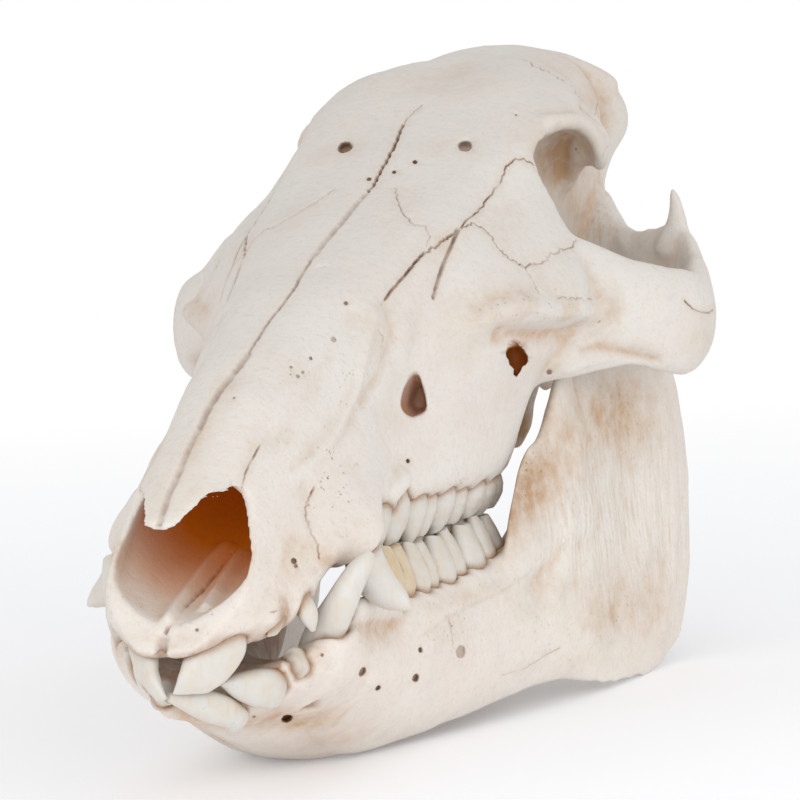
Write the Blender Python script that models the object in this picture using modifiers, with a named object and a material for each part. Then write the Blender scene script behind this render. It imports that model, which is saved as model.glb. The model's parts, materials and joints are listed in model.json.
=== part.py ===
# Bush pig skull: cranium, lower jaw and forty-two teeth, dried and cleaned, standing on its lower jaw.
# Lengths below are in millimetres and are turned to metres where meshes are made. X points to the animal's
# left, Y runs back from the tip of the nasal bones, and Z runs up from the surface that the jaw rests on.
import math

import bmesh
import bpy
import numpy as np
from mathutils import Vector

MM = 0.001
CENTRE_Y = 181.6
CHIN_REST = (110.0, -6.2)
ANGLE_REST = (281.0, -0.8)
STANDING_TURN = math.atan2(ANGLE_REST[1] - CHIN_REST[1], ANGLE_REST[0] - CHIN_REST[0])
SOCKET_GAP = 0.35
BONE_GRID = 2.0
HOLLOWED_GRID = 1.4
CRANIUM_KEEP = 0.0104
JAW_KEEP = 0.0092
RING_POINTS = 64
BONE = (0.80, 0.72, 0.62)
ENAMEL = (0.86, 0.82, 0.72)
STATION_STEP = 4.0

# Sections of the face, from the nasal tips back to the front of the orbits. Each row is the distance back,
# then the left half of the section from the top midline, down the side and in to the palate's midline.
FACE = [
    (0.5, [(0, 77), (4, 76), (8, 72.5), (11, 66), (12.5, 62), (13, 58), (13, 54), (12.5, 49), (11, 44), (8, 39.5),
           (4, 38), (0, 38)]),
    (12, [(0, 85), (8, 83.5), (14.5, 79), (19, 71), (20.8, 66), (21.5, 60), (21.6, 54), (20.8, 49), (18.5, 44),
          (13, 39), (6, 38), (0, 38)]),
    (25, [(0, 93.5), (9, 91.5), (16.6, 84), (20.3, 76), (21.8, 70), (23.2, 64), (24.8, 57), (26.4, 50), (26.6, 45),
          (20, 40), (10, 40), (0, 41)]),
    (36, [(0, 100.5), (9.5, 98.5), (17.4, 90.5), (21.2, 82), (23, 75.5), (24.8, 69), (27, 62.5), (30, 55), (30, 48.5),
          (22, 43.5), (11, 44), (0, 45)]),
    (45, [(0, 106), (10, 104), (18, 96), (22, 87), (24, 80), (26.5, 74), (29.5, 68), (32.3, 61), (32, 54.5), (25, 48.5),
          (12, 48), (0, 49)]),
    (53, [(0, 110.5), (10.5, 109), (18.6, 101), (22.5, 92), (24.6, 85), (27.6, 78.5), (32, 72), (37, 66.5), (35, 61),
          (26, 56.5), (12, 52), (0, 53)]),
    (65, [(0, 117), (11, 115.5), (19.5, 108), (23, 98), (25.5, 90), (30, 84), (36.5, 77.5), (42.5, 69.5), (42.5, 62),
          (31, 58), (13, 57), (0, 58)]),
    (85, [(0, 126.5), (12, 125), (20.5, 117), (25, 107), (27, 98), (30.5, 92), (35, 85), (38.5, 77.5), (34, 71),
          (23, 66), (12, 65), (0, 66)]),
    (110, [(0, 139), (13, 138), (22.5, 131), (27.5, 121), (28.5, 112), (29, 104), (30, 96), (32, 87), (34, 75),
           (25, 70), (12, 72), (0, 72)]),
    (130, [(0, 147), (14, 146), (25, 140), (30.5, 131), (32, 122), (32, 113), (32.5, 103), (35, 91), (37, 74),
           (25, 70), (12, 73), (0, 74)]),
    (150, [(0, 155.5), (15, 155), (28, 149), (36, 140), (41, 131), (44, 124.5), (42, 117), (41, 100), (39, 74.5),
           (25, 70), (12, 74), (0, 75)]),
    (170, [(0, 164), (16, 163), (33, 157.5), (43, 149), (51.5, 138), (57.5, 129), (53, 119), (46, 102), (40.5, 74),
           (25, 70), (12, 75), (0, 76)]),
    (190, [(0, 172.5), (17, 171), (32, 167), (41, 160), (53, 146), (63, 131), (57, 119), (49, 104), (41.5, 75),
           (26, 70), (12, 76), (0, 77)]),
    (204, [(0, 179), (19, 177), (36, 172.5), (44, 164), (57, 149), (68.5, 132), (61, 119), (50, 104), (39, 77),
           (26, 74), (12, 79), (0, 80)]),
    (216, [(0, 184.5), (20, 182.5), (41, 177), (47, 168), (56, 155), (67, 134), (60, 119), (46, 104), (33, 88),
           (24, 84), (12, 84), (0, 86)]),
    (226, [(0, 189), (20, 187), (44, 182), (47.5, 172), (53.5, 160), (62, 140), (56, 122), (42, 106), (28, 94),
           (20, 92), (12, 90), (0, 90)]),
]

# Sections of the braincase and the forehead's roof, in the same order: roof, temporal wall and skull base.
BRAINCASE = [
    (196, [(0, 175), (20, 173), (33, 169), (34, 161), (32, 146), (28, 126), (24, 108), (16, 94), (0, 92)]),
    (210, [(0, 182), (20, 180), (38, 175), (38, 169), (34, 160), (28, 136), (24, 114), (16, 96), (0, 94)]),
    (222, [(0, 187), (22, 185), (43, 180.5), (43, 174.5), (34, 170), (27, 144), (23, 117), (16, 98), (0, 95)]),
    (236, [(0, 193), (23, 192), (45.5, 187), (45, 182), (33, 178), (27, 146), (23, 118), (16, 98), (0, 95)]),
    (250, [(0, 199), (24, 199), (46.5, 192), (46, 187), (33, 181), (27, 148), (23, 120), (17, 99), (0, 95)]),
    (263, [(0, 203), (25, 204.5), (47.5, 194), (47, 188), (33, 182), (28, 150), (25, 123), (19, 101), (0, 97)]),
    (277, [(0, 206.5), (23, 209), (46, 198), (43, 189), (33, 179), (30, 152), (27, 126), (21, 103), (0, 98)]),
    (290, [(0, 210), (20, 212), (41, 201), (38, 189), (34, 175), (32, 153), (29, 128), (23, 104), (0, 99)]),
    (309, [(0, 215), (16, 214), (29, 205), (34, 191), (35, 175), (34, 153), (31, 129), (24, 105), (0, 100)]),
    (328, [(0, 219), (15, 217), (29, 210), (35, 196), (37, 178), (36, 156), (32, 131), (24, 106), (0, 101)]),
    (340, [(0, 219), (14, 217), (27, 210), (33, 196), (34, 178), (30, 156), (26, 133), (20, 110), (0, 106)]),
]

# Limbs are lofts of ovals along a path. Each row: centre x, y, z, half thickness, half height, lean in degrees.
ARCH = [
    (30, 212, 132, 9, 22, 0), (44, 214, 133, 9, 25, 8), (56, 217, 132, 9, 22, 12), (66, 225, 129.5, 8.5, 20, 8),
    (75, 234, 126.5, 8.5, 17.5, 4), (84, 243, 122, 8.5, 17, 2), (89.5, 252, 120, 8, 16.5, 0), (91, 262, 121, 7, 14, 0),
    (89, 273, 126, 5.5, 13, 0), (86, 281, 129.5, 4.5, 13.5, 0), (82, 287, 134, 4, 15.5, 0),
    (78.5, 291, 137.5, 3.6, 17.5, 0), (76, 293, 141, 3.2, 20.5, 0), (73.8, 294.8, 143, 3, 23.4, 0),
    (71.5, 296.5, 141, 3.4, 20, 0), (68.5, 298.6, 139.5, 3.8, 16.5, 0), (64, 302, 138, 4.4, 14.6, 0),
    (58, 307, 137.5, 5, 14.2, 0), (49, 315, 139, 6, 16, 0), (36, 322, 142, 8, 20, 0),
]
NUCHAL_CREST = [
    (0, 336, 210, 9, 9, 0), (15, 339, 208.5, 8, 8.5, 0), (28, 342.5, 204, 6.5, 8.5, 0), (36, 345, 198, 5.5, 8.5, 0),
    (40, 345.5, 190, 5, 8, 0), (36.5, 341, 179, 5, 9, 0), (35, 335, 167, 6, 10, 0), (40, 327, 154, 7, 10, 0),
    (46, 319, 144, 7, 10, 0),
]
BROW_HORN = [(42, 266, 190, 4, 5, 0), (47, 271, 187, 3.5, 5, 0), (49.8, 274, 181, 3, 4, 0),
             (51, 275.5, 174.5, 1.4, 2, 0)]
PTERYGOID = [(17, 205, 84, 4, 12, 0), (17, 222, 84, 3, 13, 0), (17.5, 238, 84, 2.5, 13, 0), (18, 252, 92, 3, 9, 0)]
BULLA = [(22, 286, 104, 9, 9, 0), (23, 285, 94, 8, 8, 0), (23.5, 283, 84, 5.5, 5.5, 0), (24, 282, 77, 2.5, 2.5, 0)]
SIDE_PROCESS = [(34, 318, 122, 9, 9, 0), (34, 318, 105, 7, 9, 0), (33.5, 317, 88, 4.5, 7, 0), (33, 315, 70, 2.5, 3.5, 0)]
CONDYLE = [(8, 334, 100, 8, 9, 0), (15, 336, 107, 9, 11, 0), (19, 334, 117, 7, 9, 0)]

# Lower jaw: the joined front, then the left branch from the canine back to the angle and the joint.
CHIN = [
    (22, [(0, 22.5), (8, 23), (13, 24), (13, 21), (8, 17.5), (0, 17)]),
    (30, [(0, 28), (12, 29), (22.5, 31), (19.5, 23.5), (10, 17), (0, 15)]),
    (42, [(0, 30), (16, 32), (34.5, 37.5), (31, 27), (14, 16), (0, 11.5)]),
    (56, [(0, 29), (18, 31), (40.5, 40.5), (37.5, 26), (15, 13), (0, 7)]),
    (70, [(0, 28), (18, 31), (38, 38), (37, 24), (16, 8), (0, 2.3)]),
    (85, [(0, 27), (18, 31), (36, 39), (39, 22), (16, 2.5), (0, -2)]),
    (98, [(0, 25), (16, 28), (33, 40), (40, 20), (14, -3), (0, -5)]),
    (110, [(0, 20), (14, 24), (31, 40), (40, 19), (12, -6), (0, -6.8)]),
    (118, [(0, 10), (12, 16), (29, 38), (40, 19), (14, -4), (0, -4)]),
]
JAW_BRANCH = [
    (72, [(33, 38), (38, 33), (38, 23), (31, 16), (18, 8), (12, 12), (15, 24), (25, 35)]),
    (90, [(34, 41), (39, 35), (40, 23), (31, 10), (16, 0), (11, 8), (18, 25), (26, 38)]),
    (108, [(36, 44), (40, 38), (42, 24), (33, 5), (15, -5.5), (8, 4), (21, 26), (27, 42)]),
    (130, [(39, 44.5), (43, 38), (44, 24), (37, 5), (24, -3.6), (17, 8), (24, 27), (28, 43)]),
    (155, [(42, 45.5), (45.5, 39), (47.5, 25), (43, 8), (34, -1), (27, 11), (28, 28), (30, 44)]),
    (180, [(44.5, 48), (49, 42), (52, 27), (49, 12), (42, 1.8), (34, 13), (31, 29), (33, 46)]),
    (199, [(44, 53), (51, 46), (56, 28), (54, 13), (48, 4.3), (40, 14), (36, 30), (37, 48)]),
    (214, [(47, 74), (55, 62), (59, 40), (59, 15), (53, 4.6), (45, 15), (41, 38), (42, 64)]),
    (226, [(49, 92), (57, 76), (61, 48), (62, 15), (57, 2.6), (50, 15), (46, 46), (45, 78)]),
    (240, [(51, 120), (57, 92), (61, 54), (64, 15), (61, -0.2), (55, 16), (50, 54), (46, 100)]),
    (252, [(52, 134), (58, 100), (62, 56), (66, 14), (63, -1.2), (58, 16), (53, 56), (48, 108)]),
    (266, [(56, 122), (61, 98), (64, 56), (67, 14), (64.5, -1.6), (60, 16), (56, 56), (51, 106)]),
    (282, [(61, 112), (65, 94), (67, 56), (69, 15), (66, -1.4), (61, 17), (58, 56), (55, 98)]),
    (298, [(65, 112), (69, 92), (70.5, 56), (70.5, 18), (67, 2.4), (63, 18), (61, 56), (60, 94)]),
    (311, [(68, 102), (71, 86), (72, 56), (71.5, 24), (69, 9), (66, 24), (65.5, 56), (65, 86)]),
    (319, [(69.5, 76), (71, 66), (71.5, 52), (71, 34), (69.5, 22), (68, 34), (67.5, 52), (68, 66)]),
]
JAW_JOINT = [(55, 296, 111, 4, 4, 0), (61, 298, 113, 7, 6.5, 0), (70, 298, 113, 7.5, 6.5, 0), (78, 297, 111, 4.5, 4.5, 0)]

# Hollows of the cranium. The nose and the throat are lofts like the face, cut out of it.
NOSE_HOLLOW = [
    (-12, [(0, 74), (7, 73), (10.5, 68), (12, 60), (10, 53), (5, 47), (0, 45)]),
    (2, [(0, 74), (7, 73), (10.5, 69), (12, 60), (10, 53), (5, 47), (0, 45)]),
    (12, [(0, 80.5), (7, 79), (13, 75), (18.6, 66), (18.6, 57.5), (11, 50.5), (0, 48.6)]),
    (25, [(0, 89), (7, 87.5), (13.5, 82), (19, 72), (21, 62), (14, 54.5), (0, 52)]),
    (45, [(0, 101.5), (7, 100), (14.5, 93), (20, 82), (22, 72), (15, 61), (0, 58)]),
    (75, [(0, 117), (8, 115.5), (16, 107), (20.5, 96), (21, 84), (14, 72.5), (0, 70)]),
    (110, [(0, 133.5), (9, 132), (18, 124), (22, 111), (21, 95), (15, 82), (0, 79)]),
    (150, [(0, 150), (9, 148), (20, 140), (26, 124), (24, 104), (16, 86), (0, 82)]),
    (185, [(0, 152), (8, 150), (16, 143), (20, 126), (18, 106), (12, 89), (0, 86)]),
]
NOSE_BITE_REACH = 40
NOSE_MOUTH = [(-14, 73), (0, 73.5), (12, 79.5), (21, 83), (26, 84), (27, 81), (22.5, 73), (18.5, 66), (12, 56.5),
              (8.5, 51.5), (5.5, 46.5), (3, 42.5), (0.5, 38.5), (-3, 36), (-14, 34)]
THROAT = [(0, 150, 102, 14, 14, 0), (0, 185, 96, 13, 12, 0), (0, 215, 88, 13, 12, 0), (0, 248, 74, 14, 16, 0)]
BRAIN = [(0, 262, 146, 13, 14, 0), (0, 285, 145, 21, 24, 0), (0, 310, 138, 20, 22, 0), (0, 330, 124, 13, 14, 0),
         (0, 354, 119, 11, 12, 0)]
INFRAORBITAL = [(46, 108, 102, 5, 7, 0), (35, 124, 105, 4.2, 7.5, 0), (29, 140, 109, 4, 7, 0), (24, 158, 112, 4, 5, 0)]
BROKEN_WINDOW = [(64, 168, 112, 5.2, 5.4, 0), (51, 181, 112.5, 5.2, 5.4, 0), (40, 194, 112, 5, 6, 0)]
ORBIT = [(66, 258, 172, 14, 15, 0), (52, 246, 172.5, 14, 14.5, 0), (42, 238, 170, 13, 13.5, 0), (34, 232, 165, 9, 10, 0)]

# Front teeth are lofts from the root's end to the crown's edge. Each row: one edge of the tooth, its other edge,
# and half its thickness. The two sides of the lower jaw differ, as the right front teeth sit higher and are worn.
UPPER_FRONT = {
    "incisor_1": [((9, 13, 45.5), (15, 17, 46.5), 2.2), ((5, 6, 38.4), (18.8, 16.6, 42.4), 3.2),
                  ((3.8, 3.2, 34), (18.4, 15.6, 34.6), 2.8), ((4, 2.4, 29.8), (14.8, 11.4, 29.4), 1.9),
                  ((6.6, 4.6, 27.2), (11, 8.2, 27.4), 0.9)],
    "incisor_2": [((24, 27, 52), (26, 31, 51.5), 1.6), ((24, 24.6, 47.5), (27, 30, 46.8), 2.2),
                  ((23.2, 22, 42.4), (26, 24.4, 41.8), 1.2)],
    "incisor_3": [((28, 37, 54), (30.4, 41, 54.5), 1.8), ((28.6, 34.6, 47.4), (32.2, 39, 49), 2.4),
                  ((29.4, 34.8, 44.6), (32.4, 39.6, 46.6), 2.0), ((30.6, 38, 42.2), (31.4, 39.6, 42.6), 0.8)],
    "canine": [((33, 74, 77), (30, 66, 70), 3.6), ((40, 69.5, 66.5), (34, 63, 61), 4.8),
               ((43, 66.8, 60.2), (36, 60.5, 56.4), 4.9), ((47.5, 68.6, 52.7), (39.5, 61.4, 49.6), 4.0),
               ((51.8, 68.6, 47.6), (46, 62.6, 46), 2.4), ((52.8, 68.2, 45.4), (50.8, 66.8, 44.8), 0.8)],
}
LOWER_FRONT_LEFT = {
    "incisor_1": [((21, 33, 16), (17, 31, 13), 2.4), ((17, 25.4, 19.6), (10.4, 22.2, 15), 3.6),
                  ((9.8, 19, 26.6), (5.4, 12, 21), 3.4), ((4.6, 9.6, 28), (3.4, 8, 24.2), 2.0)],
    "incisor_2": [((26.6, 35.4, 28), (23.6, 35.4, 22.5), 2.2), ((24.8, 31.6, 30.2), (20.2, 31, 19.2), 3.9),
                  ((21, 23.4, 32), (16.4, 25, 21), 3.8), ((17.4, 18.2, 32), (12.6, 18, 26.4), 1.8)],
    "incisor_3": [((23.6, 42, 25.4), (27.8, 43.6, 24.2), 2.4), ((24.6, 38.4, 32.4), (31.2, 36.6, 31), 3.4),
                  ((25.4, 35.2, 36.2), (30.8, 32.8, 34.6), 2.6)],
    "canine": [((18, 57, 20.7), (24, 57, 17.3), 3.0), ((21.5, 51.5, 31.5), (29.6, 51, 27), 4.4),
               ((27.5, 46, 43.6), (38.1, 46, 37.6), 5.6), ((32.9, 46.6, 52.8), (43.1, 46.6, 47.2), 5.3),
               ((36.6, 49.6, 59.8), (45.4, 49.6, 55.2), 4.6), ((39.4, 51.7, 64.2), (46.6, 51.7, 60.6), 3.6)],
}
LOWER_FRONT_RIGHT = {
    "incisor_1": [((-20, 34, 23), (-16, 32, 20), 2.2), ((-16, 27.4, 26.4), (-10, 24.6, 21.8), 3.2),
                  ((-9, 21, 31), (-5, 16, 27.4), 2.6)],
    "incisor_2": [((-25, 35.5, 32), (-22.4, 35.5, 27.5), 2.0), ((-24.2, 32, 35), (-20, 31.6, 25.6), 3.3),
                  ((-21, 24, 36.2), (-17, 25, 28), 2.6)],
    "incisor_3": [((-25, 41.5, 27), (-28.6, 42, 26), 2.0), ((-26.4, 39.6, 33.8), (-31.4, 38, 32.8), 2.6),
                  ((-27, 37, 37.4), (-31, 35, 36.4), 2.1)],
    "canine": [((-18, 57, 20.7), (-24, 57, 17.3), 3.0), ((-21, 52, 31.5), (-29, 51.5, 27), 4.4),
               ((-25, 48, 43.6), (-35.2, 48, 37.6), 5.4), ((-28.6, 48.6, 52), (-38.4, 48.6, 46.6), 5.2),
               ((-31.4, 50.6, 58.4), (-40, 50.6, 54), 4.6), ((-33.4, 52.2, 62.6), (-40.6, 52.2, 59), 3.6)],
}

# Cheek teeth. Each row: name, middle's distance back, length and width.
UPPER_CHEEK = [("premolar_2", 96.6, 9.4, 7), ("premolar_3", 105.8, 8.6, 9), ("premolar_4", 117.6, 14.4, 12.5),
               ("molar_1", 135.6, 21, 14), ("molar_2", 158.4, 24, 16.4), ("molar_3", 185.4, 29.4, 16.6)]
LOWER_CHEEK = [("premolar_3", 91.5, 10.5, 6.5), ("premolar_4", 108, 21.6, 9.5), ("molar_1", 128.6, 19, 11.5),
               ("molar_2", 149.4, 22, 13.5), ("molar_3", 176, 30.4, 14)]
UPPER_LINE = [(88, 31.6), (102, 33), (125, 35.5), (146, 37.5), (170, 40), (202, 41)]
LOWER_LINE = [(84, 35.4), (99.5, 37.5), (120, 38.5), (135, 39.5), (147, 41), (160, 42), (172, 43.5), (192, 44.7)]
UPPER_NECK = 73.2
UPPER_TIP = 59.6
LOWER_NECK = 45.2
LOWER_TIP = 59.0
CHEEK_ROOT = 7.0
SMALL_TOOTH_HEIGHT = 0.75


def metres(point):
    """Turn a measured point into metres in the standing skull, which rests on its chin and its two jaw angles."""
    x, y, z = point
    rise = math.sin(STANDING_TURN)
    level = math.cos(STANDING_TURN)
    back = CHIN_REST[0] + (y - CHIN_REST[0]) * level + (z - CHIN_REST[1]) * rise
    up = (z - CHIN_REST[1]) * level - (y - CHIN_REST[0]) * rise
    return (x * MM, (back - CENTRE_Y) * MM, up * MM)


def curve_through(knots, values, wanted, closed_period=None):
    """Read a smooth curve through values at knots; with a period, the curve closes on itself."""
    knots = np.asarray(knots, float)
    values = np.asarray(values, float)
    if closed_period is not None:
        knots = np.concatenate([knots[-2:] - closed_period, knots, knots[:2] + closed_period])
        values = np.concatenate([values[-2:], values, values[:2]])
    step = np.diff(knots)[:, None]
    slope = np.diff(values, axis=0) / step
    tangent = np.empty_like(values)
    tangent[1:-1] = (slope[:-1] * step[1:] + slope[1:] * step[:-1]) / (step[1:] + step[:-1])
    tangent[0] = slope[0]
    tangent[-1] = slope[-1]
    index = np.clip(np.searchsorted(knots, wanted, side="right") - 1, 0, len(knots) - 2)
    width = (knots[index + 1] - knots[index])[:, None]
    t = (np.asarray(wanted) - knots[index])[:, None] / width
    a = values[index]
    b = values[index + 1]
    return ((2 * t**3 - 3 * t**2 + 1) * a + (t**3 - 2 * t**2 + t) * width * tangent[index]
            + (3 * t**2 - 2 * t**3) * b + (t**3 - t**2) * width * tangent[index + 1])


def closed_ring(points, count):
    """Spread count points evenly along a smooth closed curve through the section's points."""
    points = np.asarray(points, float)
    gaps = np.sqrt(np.linalg.norm(np.roll(points, -1, axis=0) - points, axis=1))
    knots = np.concatenate([[0.0], np.cumsum(gaps)[:-1]])
    period = gaps.sum()
    return curve_through(knots, points, np.linspace(0, period, count, endpoint=False), period)


def whole_section(half):
    """Complete a left half section with its mirror image."""
    return half + [(-x, z) for x, z in reversed(half[1:-1])]


def skin(name, rings, collection):
    """Join rings of equal count into one closed mesh, with a fan on each end."""
    mesh = bmesh.new()
    loops = [[mesh.verts.new(metres(p)) for p in ring] for ring in rings]
    count = len(rings[0])
    for lower, upper in zip(loops[:-1], loops[1:]):
        for i in range(count):
            j = (i + 1) % count
            mesh.faces.new((lower[i], lower[j], upper[j], upper[i]))
    for loop in (loops[0], loops[-1]):
        middle = mesh.verts.new(sum((v.co for v in loop), Vector()) / count)
        for i in range(count):
            mesh.faces.new((loop[i], loop[(i + 1) % count], middle))
    bmesh.ops.recalc_face_normals(mesh, faces=mesh.faces)
    bmesh.ops.triangulate(mesh, faces=mesh.faces)
    data = bpy.data.meshes.new(name)
    mesh.to_mesh(data)
    mesh.free()
    shape = bpy.data.objects.new(name, data)
    collection.objects.link(shape)
    return shape


def section_loft(name, stations, collection, whole=True):
    """Loft sections that stand across Y, smooth both round each section and from one to the next."""
    places = np.array([row[0] for row in stations], float)
    rings = [closed_ring(whole_section(row[1]) if whole else row[1], RING_POINTS) for row in stations]
    wanted = np.linspace(places[0], places[-1], int((places[-1] - places[0]) / STATION_STEP) + 2)
    flat = np.array(rings).reshape(len(rings), -1)
    smooth = curve_through(places, flat, wanted).reshape(len(wanted), RING_POINTS, 2)
    shaped = [[(x, y, z) for x, z in ring] for y, ring in zip(wanted, smooth)]
    return skin(name, shaped, collection)


def limb_loft(name, rows, collection, points=20, step=2.5, upright_only=False):
    """Loft ovals along a smooth path; each oval stands square to the path, or bolt upright across it."""
    rows = np.array(rows, float)
    knots = np.concatenate([[0.0], np.cumsum(np.linalg.norm(np.diff(rows[:, :3], axis=0), axis=1))])
    wanted = np.linspace(0, knots[-1], max(4, int(knots[-1] / step)))
    smooth = curve_through(knots, rows, wanted)
    heading = np.gradient(smooth[:, :3], axis=0)
    rings = []
    for row, ahead in zip(smooth, heading):
        ahead = Vector((ahead[0], ahead[1], 0.0 if upright_only else ahead[2])).normalized()
        upright = Vector((0, 0, 1)) if abs(ahead.z) < 0.8 else Vector((0, 1, 0))
        side = ahead.cross(upright).normalized()
        tall = side.cross(ahead).normalized()
        lean = math.radians(row[5])
        side, tall = side * math.cos(lean) + tall * math.sin(lean), tall * math.cos(lean) - side * math.sin(lean)
        middle = Vector(row[:3])
        ring = []
        for i in range(points):
            angle = math.tau * i / points
            ring.append(middle + side * row[3] * math.cos(angle) + tall * row[4] * math.sin(angle))
        rings.append(ring)
    return skin(name, rings, collection)


def mirror_twin(shape, collection):
    """Add the same shape on the animal's other side."""
    data = shape.data.copy()
    for vertex in data.vertices:
        vertex.co.x = -vertex.co.x
    data.flip_normals()
    twin = bpy.data.objects.new(shape.name + "_twin", data)
    collection.objects.link(twin)
    return twin


def join_shapes(name, shapes, collection):
    """Put the meshes of several overlapping shapes into one object, to be fused by its Remesh."""
    mesh = bmesh.new()
    for shape in shapes:
        mesh.from_mesh(shape.data)
        bpy.data.objects.remove(shape)
    data = bpy.data.meshes.new(name)
    mesh.to_mesh(data)
    mesh.free()
    joined = bpy.data.objects.new(name, data)
    collection.objects.link(joined)
    return joined


def as_cutter(shape):
    shape.hide_render = True
    shape.display_type = "WIRE"
    return shape


def subtract(target, cutters, label):
    cut = target.modifiers.new(label, "BOOLEAN")
    cut.operation = "DIFFERENCE"
    cut.solver = "EXACT"
    cut.operand_type = "COLLECTION"
    cut.collection = cutters
    return cut


def grow_as_one_bone(target, smooth_steps, keep, hollows):
    """Fuse the overlapping forms into one bone, open its hollows, soften it and thin out its faces."""
    fuse = target.modifiers.new("fuse forms", "REMESH")
    fuse.mode = "VOXEL"
    fuse.voxel_size = BONE_GRID * MM
    subtract(target, hollows, "open hollows")
    even = target.modifiers.new("even out faces", "REMESH")
    even.mode = "VOXEL"
    even.voxel_size = HOLLOWED_GRID * MM
    soften = target.modifiers.new("soften", "SMOOTH")
    soften.factor = 0.5
    soften.iterations = smooth_steps
    thin = target.modifiers.new("thin faces", "DECIMATE")
    thin.ratio = keep
    thin.use_collapse_triangulate = True


def material(name, colour, roughness):
    """A plain bone or tooth finish; colour is linear red, green and blue."""
    finish = bpy.data.materials.new(name)
    finish.use_nodes = True
    shader = finish.node_tree.nodes["Principled BSDF"]
    shader.inputs["Base Color"].default_value = (*colour, 1.0)
    shader.inputs["Roughness"].default_value = roughness
    shader.inputs["Metallic"].default_value = 0.0
    return finish


def line_at(line, y):
    """Read the outer edge of a tooth row at a distance back."""
    return float(np.interp(y, [p[0] for p in line], [p[1] for p in line]))


def tooth_rings(axis, long_dir, levels, points=8):
    """Rings of a tooth: each level is a place along the axis, a half length, a half width and a squareness."""
    rings = []
    for centre, half_long, half_wide, square in levels:
        out = []
        wide_dir = axis.cross(long_dir).normalized()
        for i in range(points):
            angle = math.tau * (i + 0.5) / points
            c = math.cos(angle)
            s = math.sin(angle)
            c = math.copysign(abs(c) ** square, c)
            s = math.copysign(abs(s) ** square, s)
            out.append(centre + long_dir * half_long * c + wide_dir * half_wide * s)
        rings.append(out)
    return rings


def edged_tooth(name, rows, collection):
    """A front tooth, lofted through rows that each give its two edges and half its thickness."""
    middles = [(Vector(a) + Vector(b)) / 2 for a, b, thick in rows]
    rings = []
    for i, (a, b, thick) in enumerate(rows):
        axis = (middles[min(i + 1, len(rows) - 1)] - middles[max(i - 1, 0)]).normalized()
        reach = (Vector(b) - Vector(a)) / 2
        rings += tooth_rings(axis, reach.normalized(), [(middles[i], reach.length, thick, 0.8)])
    return skin(name, rings, collection)


def cheek_tooth(name, line, place, length, width, neck_z, tip_z, collection):
    """A cheek tooth: tapered root, bulging crown and a chewing face a little narrower than its neck."""
    up = 1.0 if tip_z > neck_z else -1.0
    ahead = line_at(line, place - length / 2)
    behind = line_at(line, place + length / 2)
    slant = Vector((behind - ahead, length, 0.0)).normalized()
    x = (ahead + behind) / 2 - width / 2
    axis = Vector((0, 0, up))
    half = length / 2 - 0.25
    heights = [(-CHEEK_ROOT, 0.72, 0.62, 0.8), (0.0, 0.92, 0.96, 0.68), (0.62, 0.98, 0.94, 0.62), (1.0, 0.76, 0.56, 0.8)]
    levels = []
    for step, long_part, wide_part, square in heights:
        z = neck_z + (up * step if step < 0 else (tip_z - neck_z) * step)
        levels.append((Vector((x, place, z)), half * long_part, width / 2 * wide_part, square))
    return skin(name, tooth_rings(axis, slant, levels), collection)


def grown_copy(tooth, gap, collection):
    """A cutter of the tooth's own shape, larger all round by the gap, for its socket."""
    data = tooth.data.copy()
    cutter = bpy.data.objects.new(tooth.name + "_socket", data)
    collection.objects.link(cutter)
    mesh = bmesh.new()
    mesh.from_mesh(data)
    mesh.normal_update()
    moves = [v.normal * gap * MM * 1.25 for v in mesh.verts]
    for vertex, move in zip(mesh.verts, moves):
        vertex.co += move
    mesh.to_mesh(data)
    mesh.free()
    return as_cutter(cutter)


def make_teeth(collection, jaw):
    """Every tooth of the upper or the lower jaw, left and right."""
    upper = jaw == "upper"
    left = UPPER_FRONT if upper else LOWER_FRONT_LEFT
    pieces = []
    for label, rows in left.items():
        tooth = edged_tooth(f"{jaw}_{label}_left", rows, collection)
        if upper:
            other = mirror_twin(tooth, collection)
            other.name = f"{jaw}_{label}_right"
        else:
            other = edged_tooth(f"{jaw}_{label}_right", LOWER_FRONT_RIGHT[label], collection)
        pieces += [tooth, other]
    line = UPPER_LINE if upper else LOWER_LINE
    neck = UPPER_NECK if upper else LOWER_NECK
    end = UPPER_TIP if upper else LOWER_TIP
    for label, place, length, width in (UPPER_CHEEK if upper else LOWER_CHEEK):
        height = SMALL_TOOTH_HEIGHT if place < 100 else 1.0
        crown_end = neck + (end - neck) * height
        tooth = cheek_tooth(f"{jaw}_{label}_left", line, place, length, width, neck, crown_end, collection)
        other = mirror_twin(tooth, collection)
        other.name = f"{jaw}_{label}_right"
        pieces += [tooth, other]
    return pieces


def mirrored_limbs(collection, table):
    shapes = []
    for name, rows in table:
        shape = limb_loft(name, rows, collection, upright_only=name == "arch")
        shapes += [shape, mirror_twin(shape, collection)]
    return shapes


def make_cranium(parts, hollows):
    """The cranium's forms and the hollows cut into it."""
    forms = [section_loft("face", FACE, parts), section_loft("braincase", BRAINCASE, parts)]
    forms += mirrored_limbs(parts, [("arch", ARCH), ("nuchal crest", NUCHAL_CREST), ("brow horn", BROW_HORN),
                                    ("pterygoid", PTERYGOID), ("bulla", BULLA), ("side process", SIDE_PROCESS),
                                    ("condyle", CONDYLE)])
    as_cutter(section_loft("nose hollow", NOSE_HOLLOW, hollows))
    as_cutter(make_nose_mouth(hollows))
    for name, rows in [("throat", THROAT), ("brain", BRAIN)]:
        as_cutter(limb_loft(name, rows, hollows, points=24))
    for shape in mirrored_limbs(hollows, [("infraorbital canal", INFRAORBITAL), ("orbit", ORBIT)]):
        as_cutter(shape)
    as_cutter(limb_loft("broken window", BROKEN_WINDOW, hollows))
    cranium = join_shapes("cranium", forms, parts)
    grow_as_one_bone(cranium, 5, CRANIUM_KEEP, hollows)
    return cranium


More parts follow.
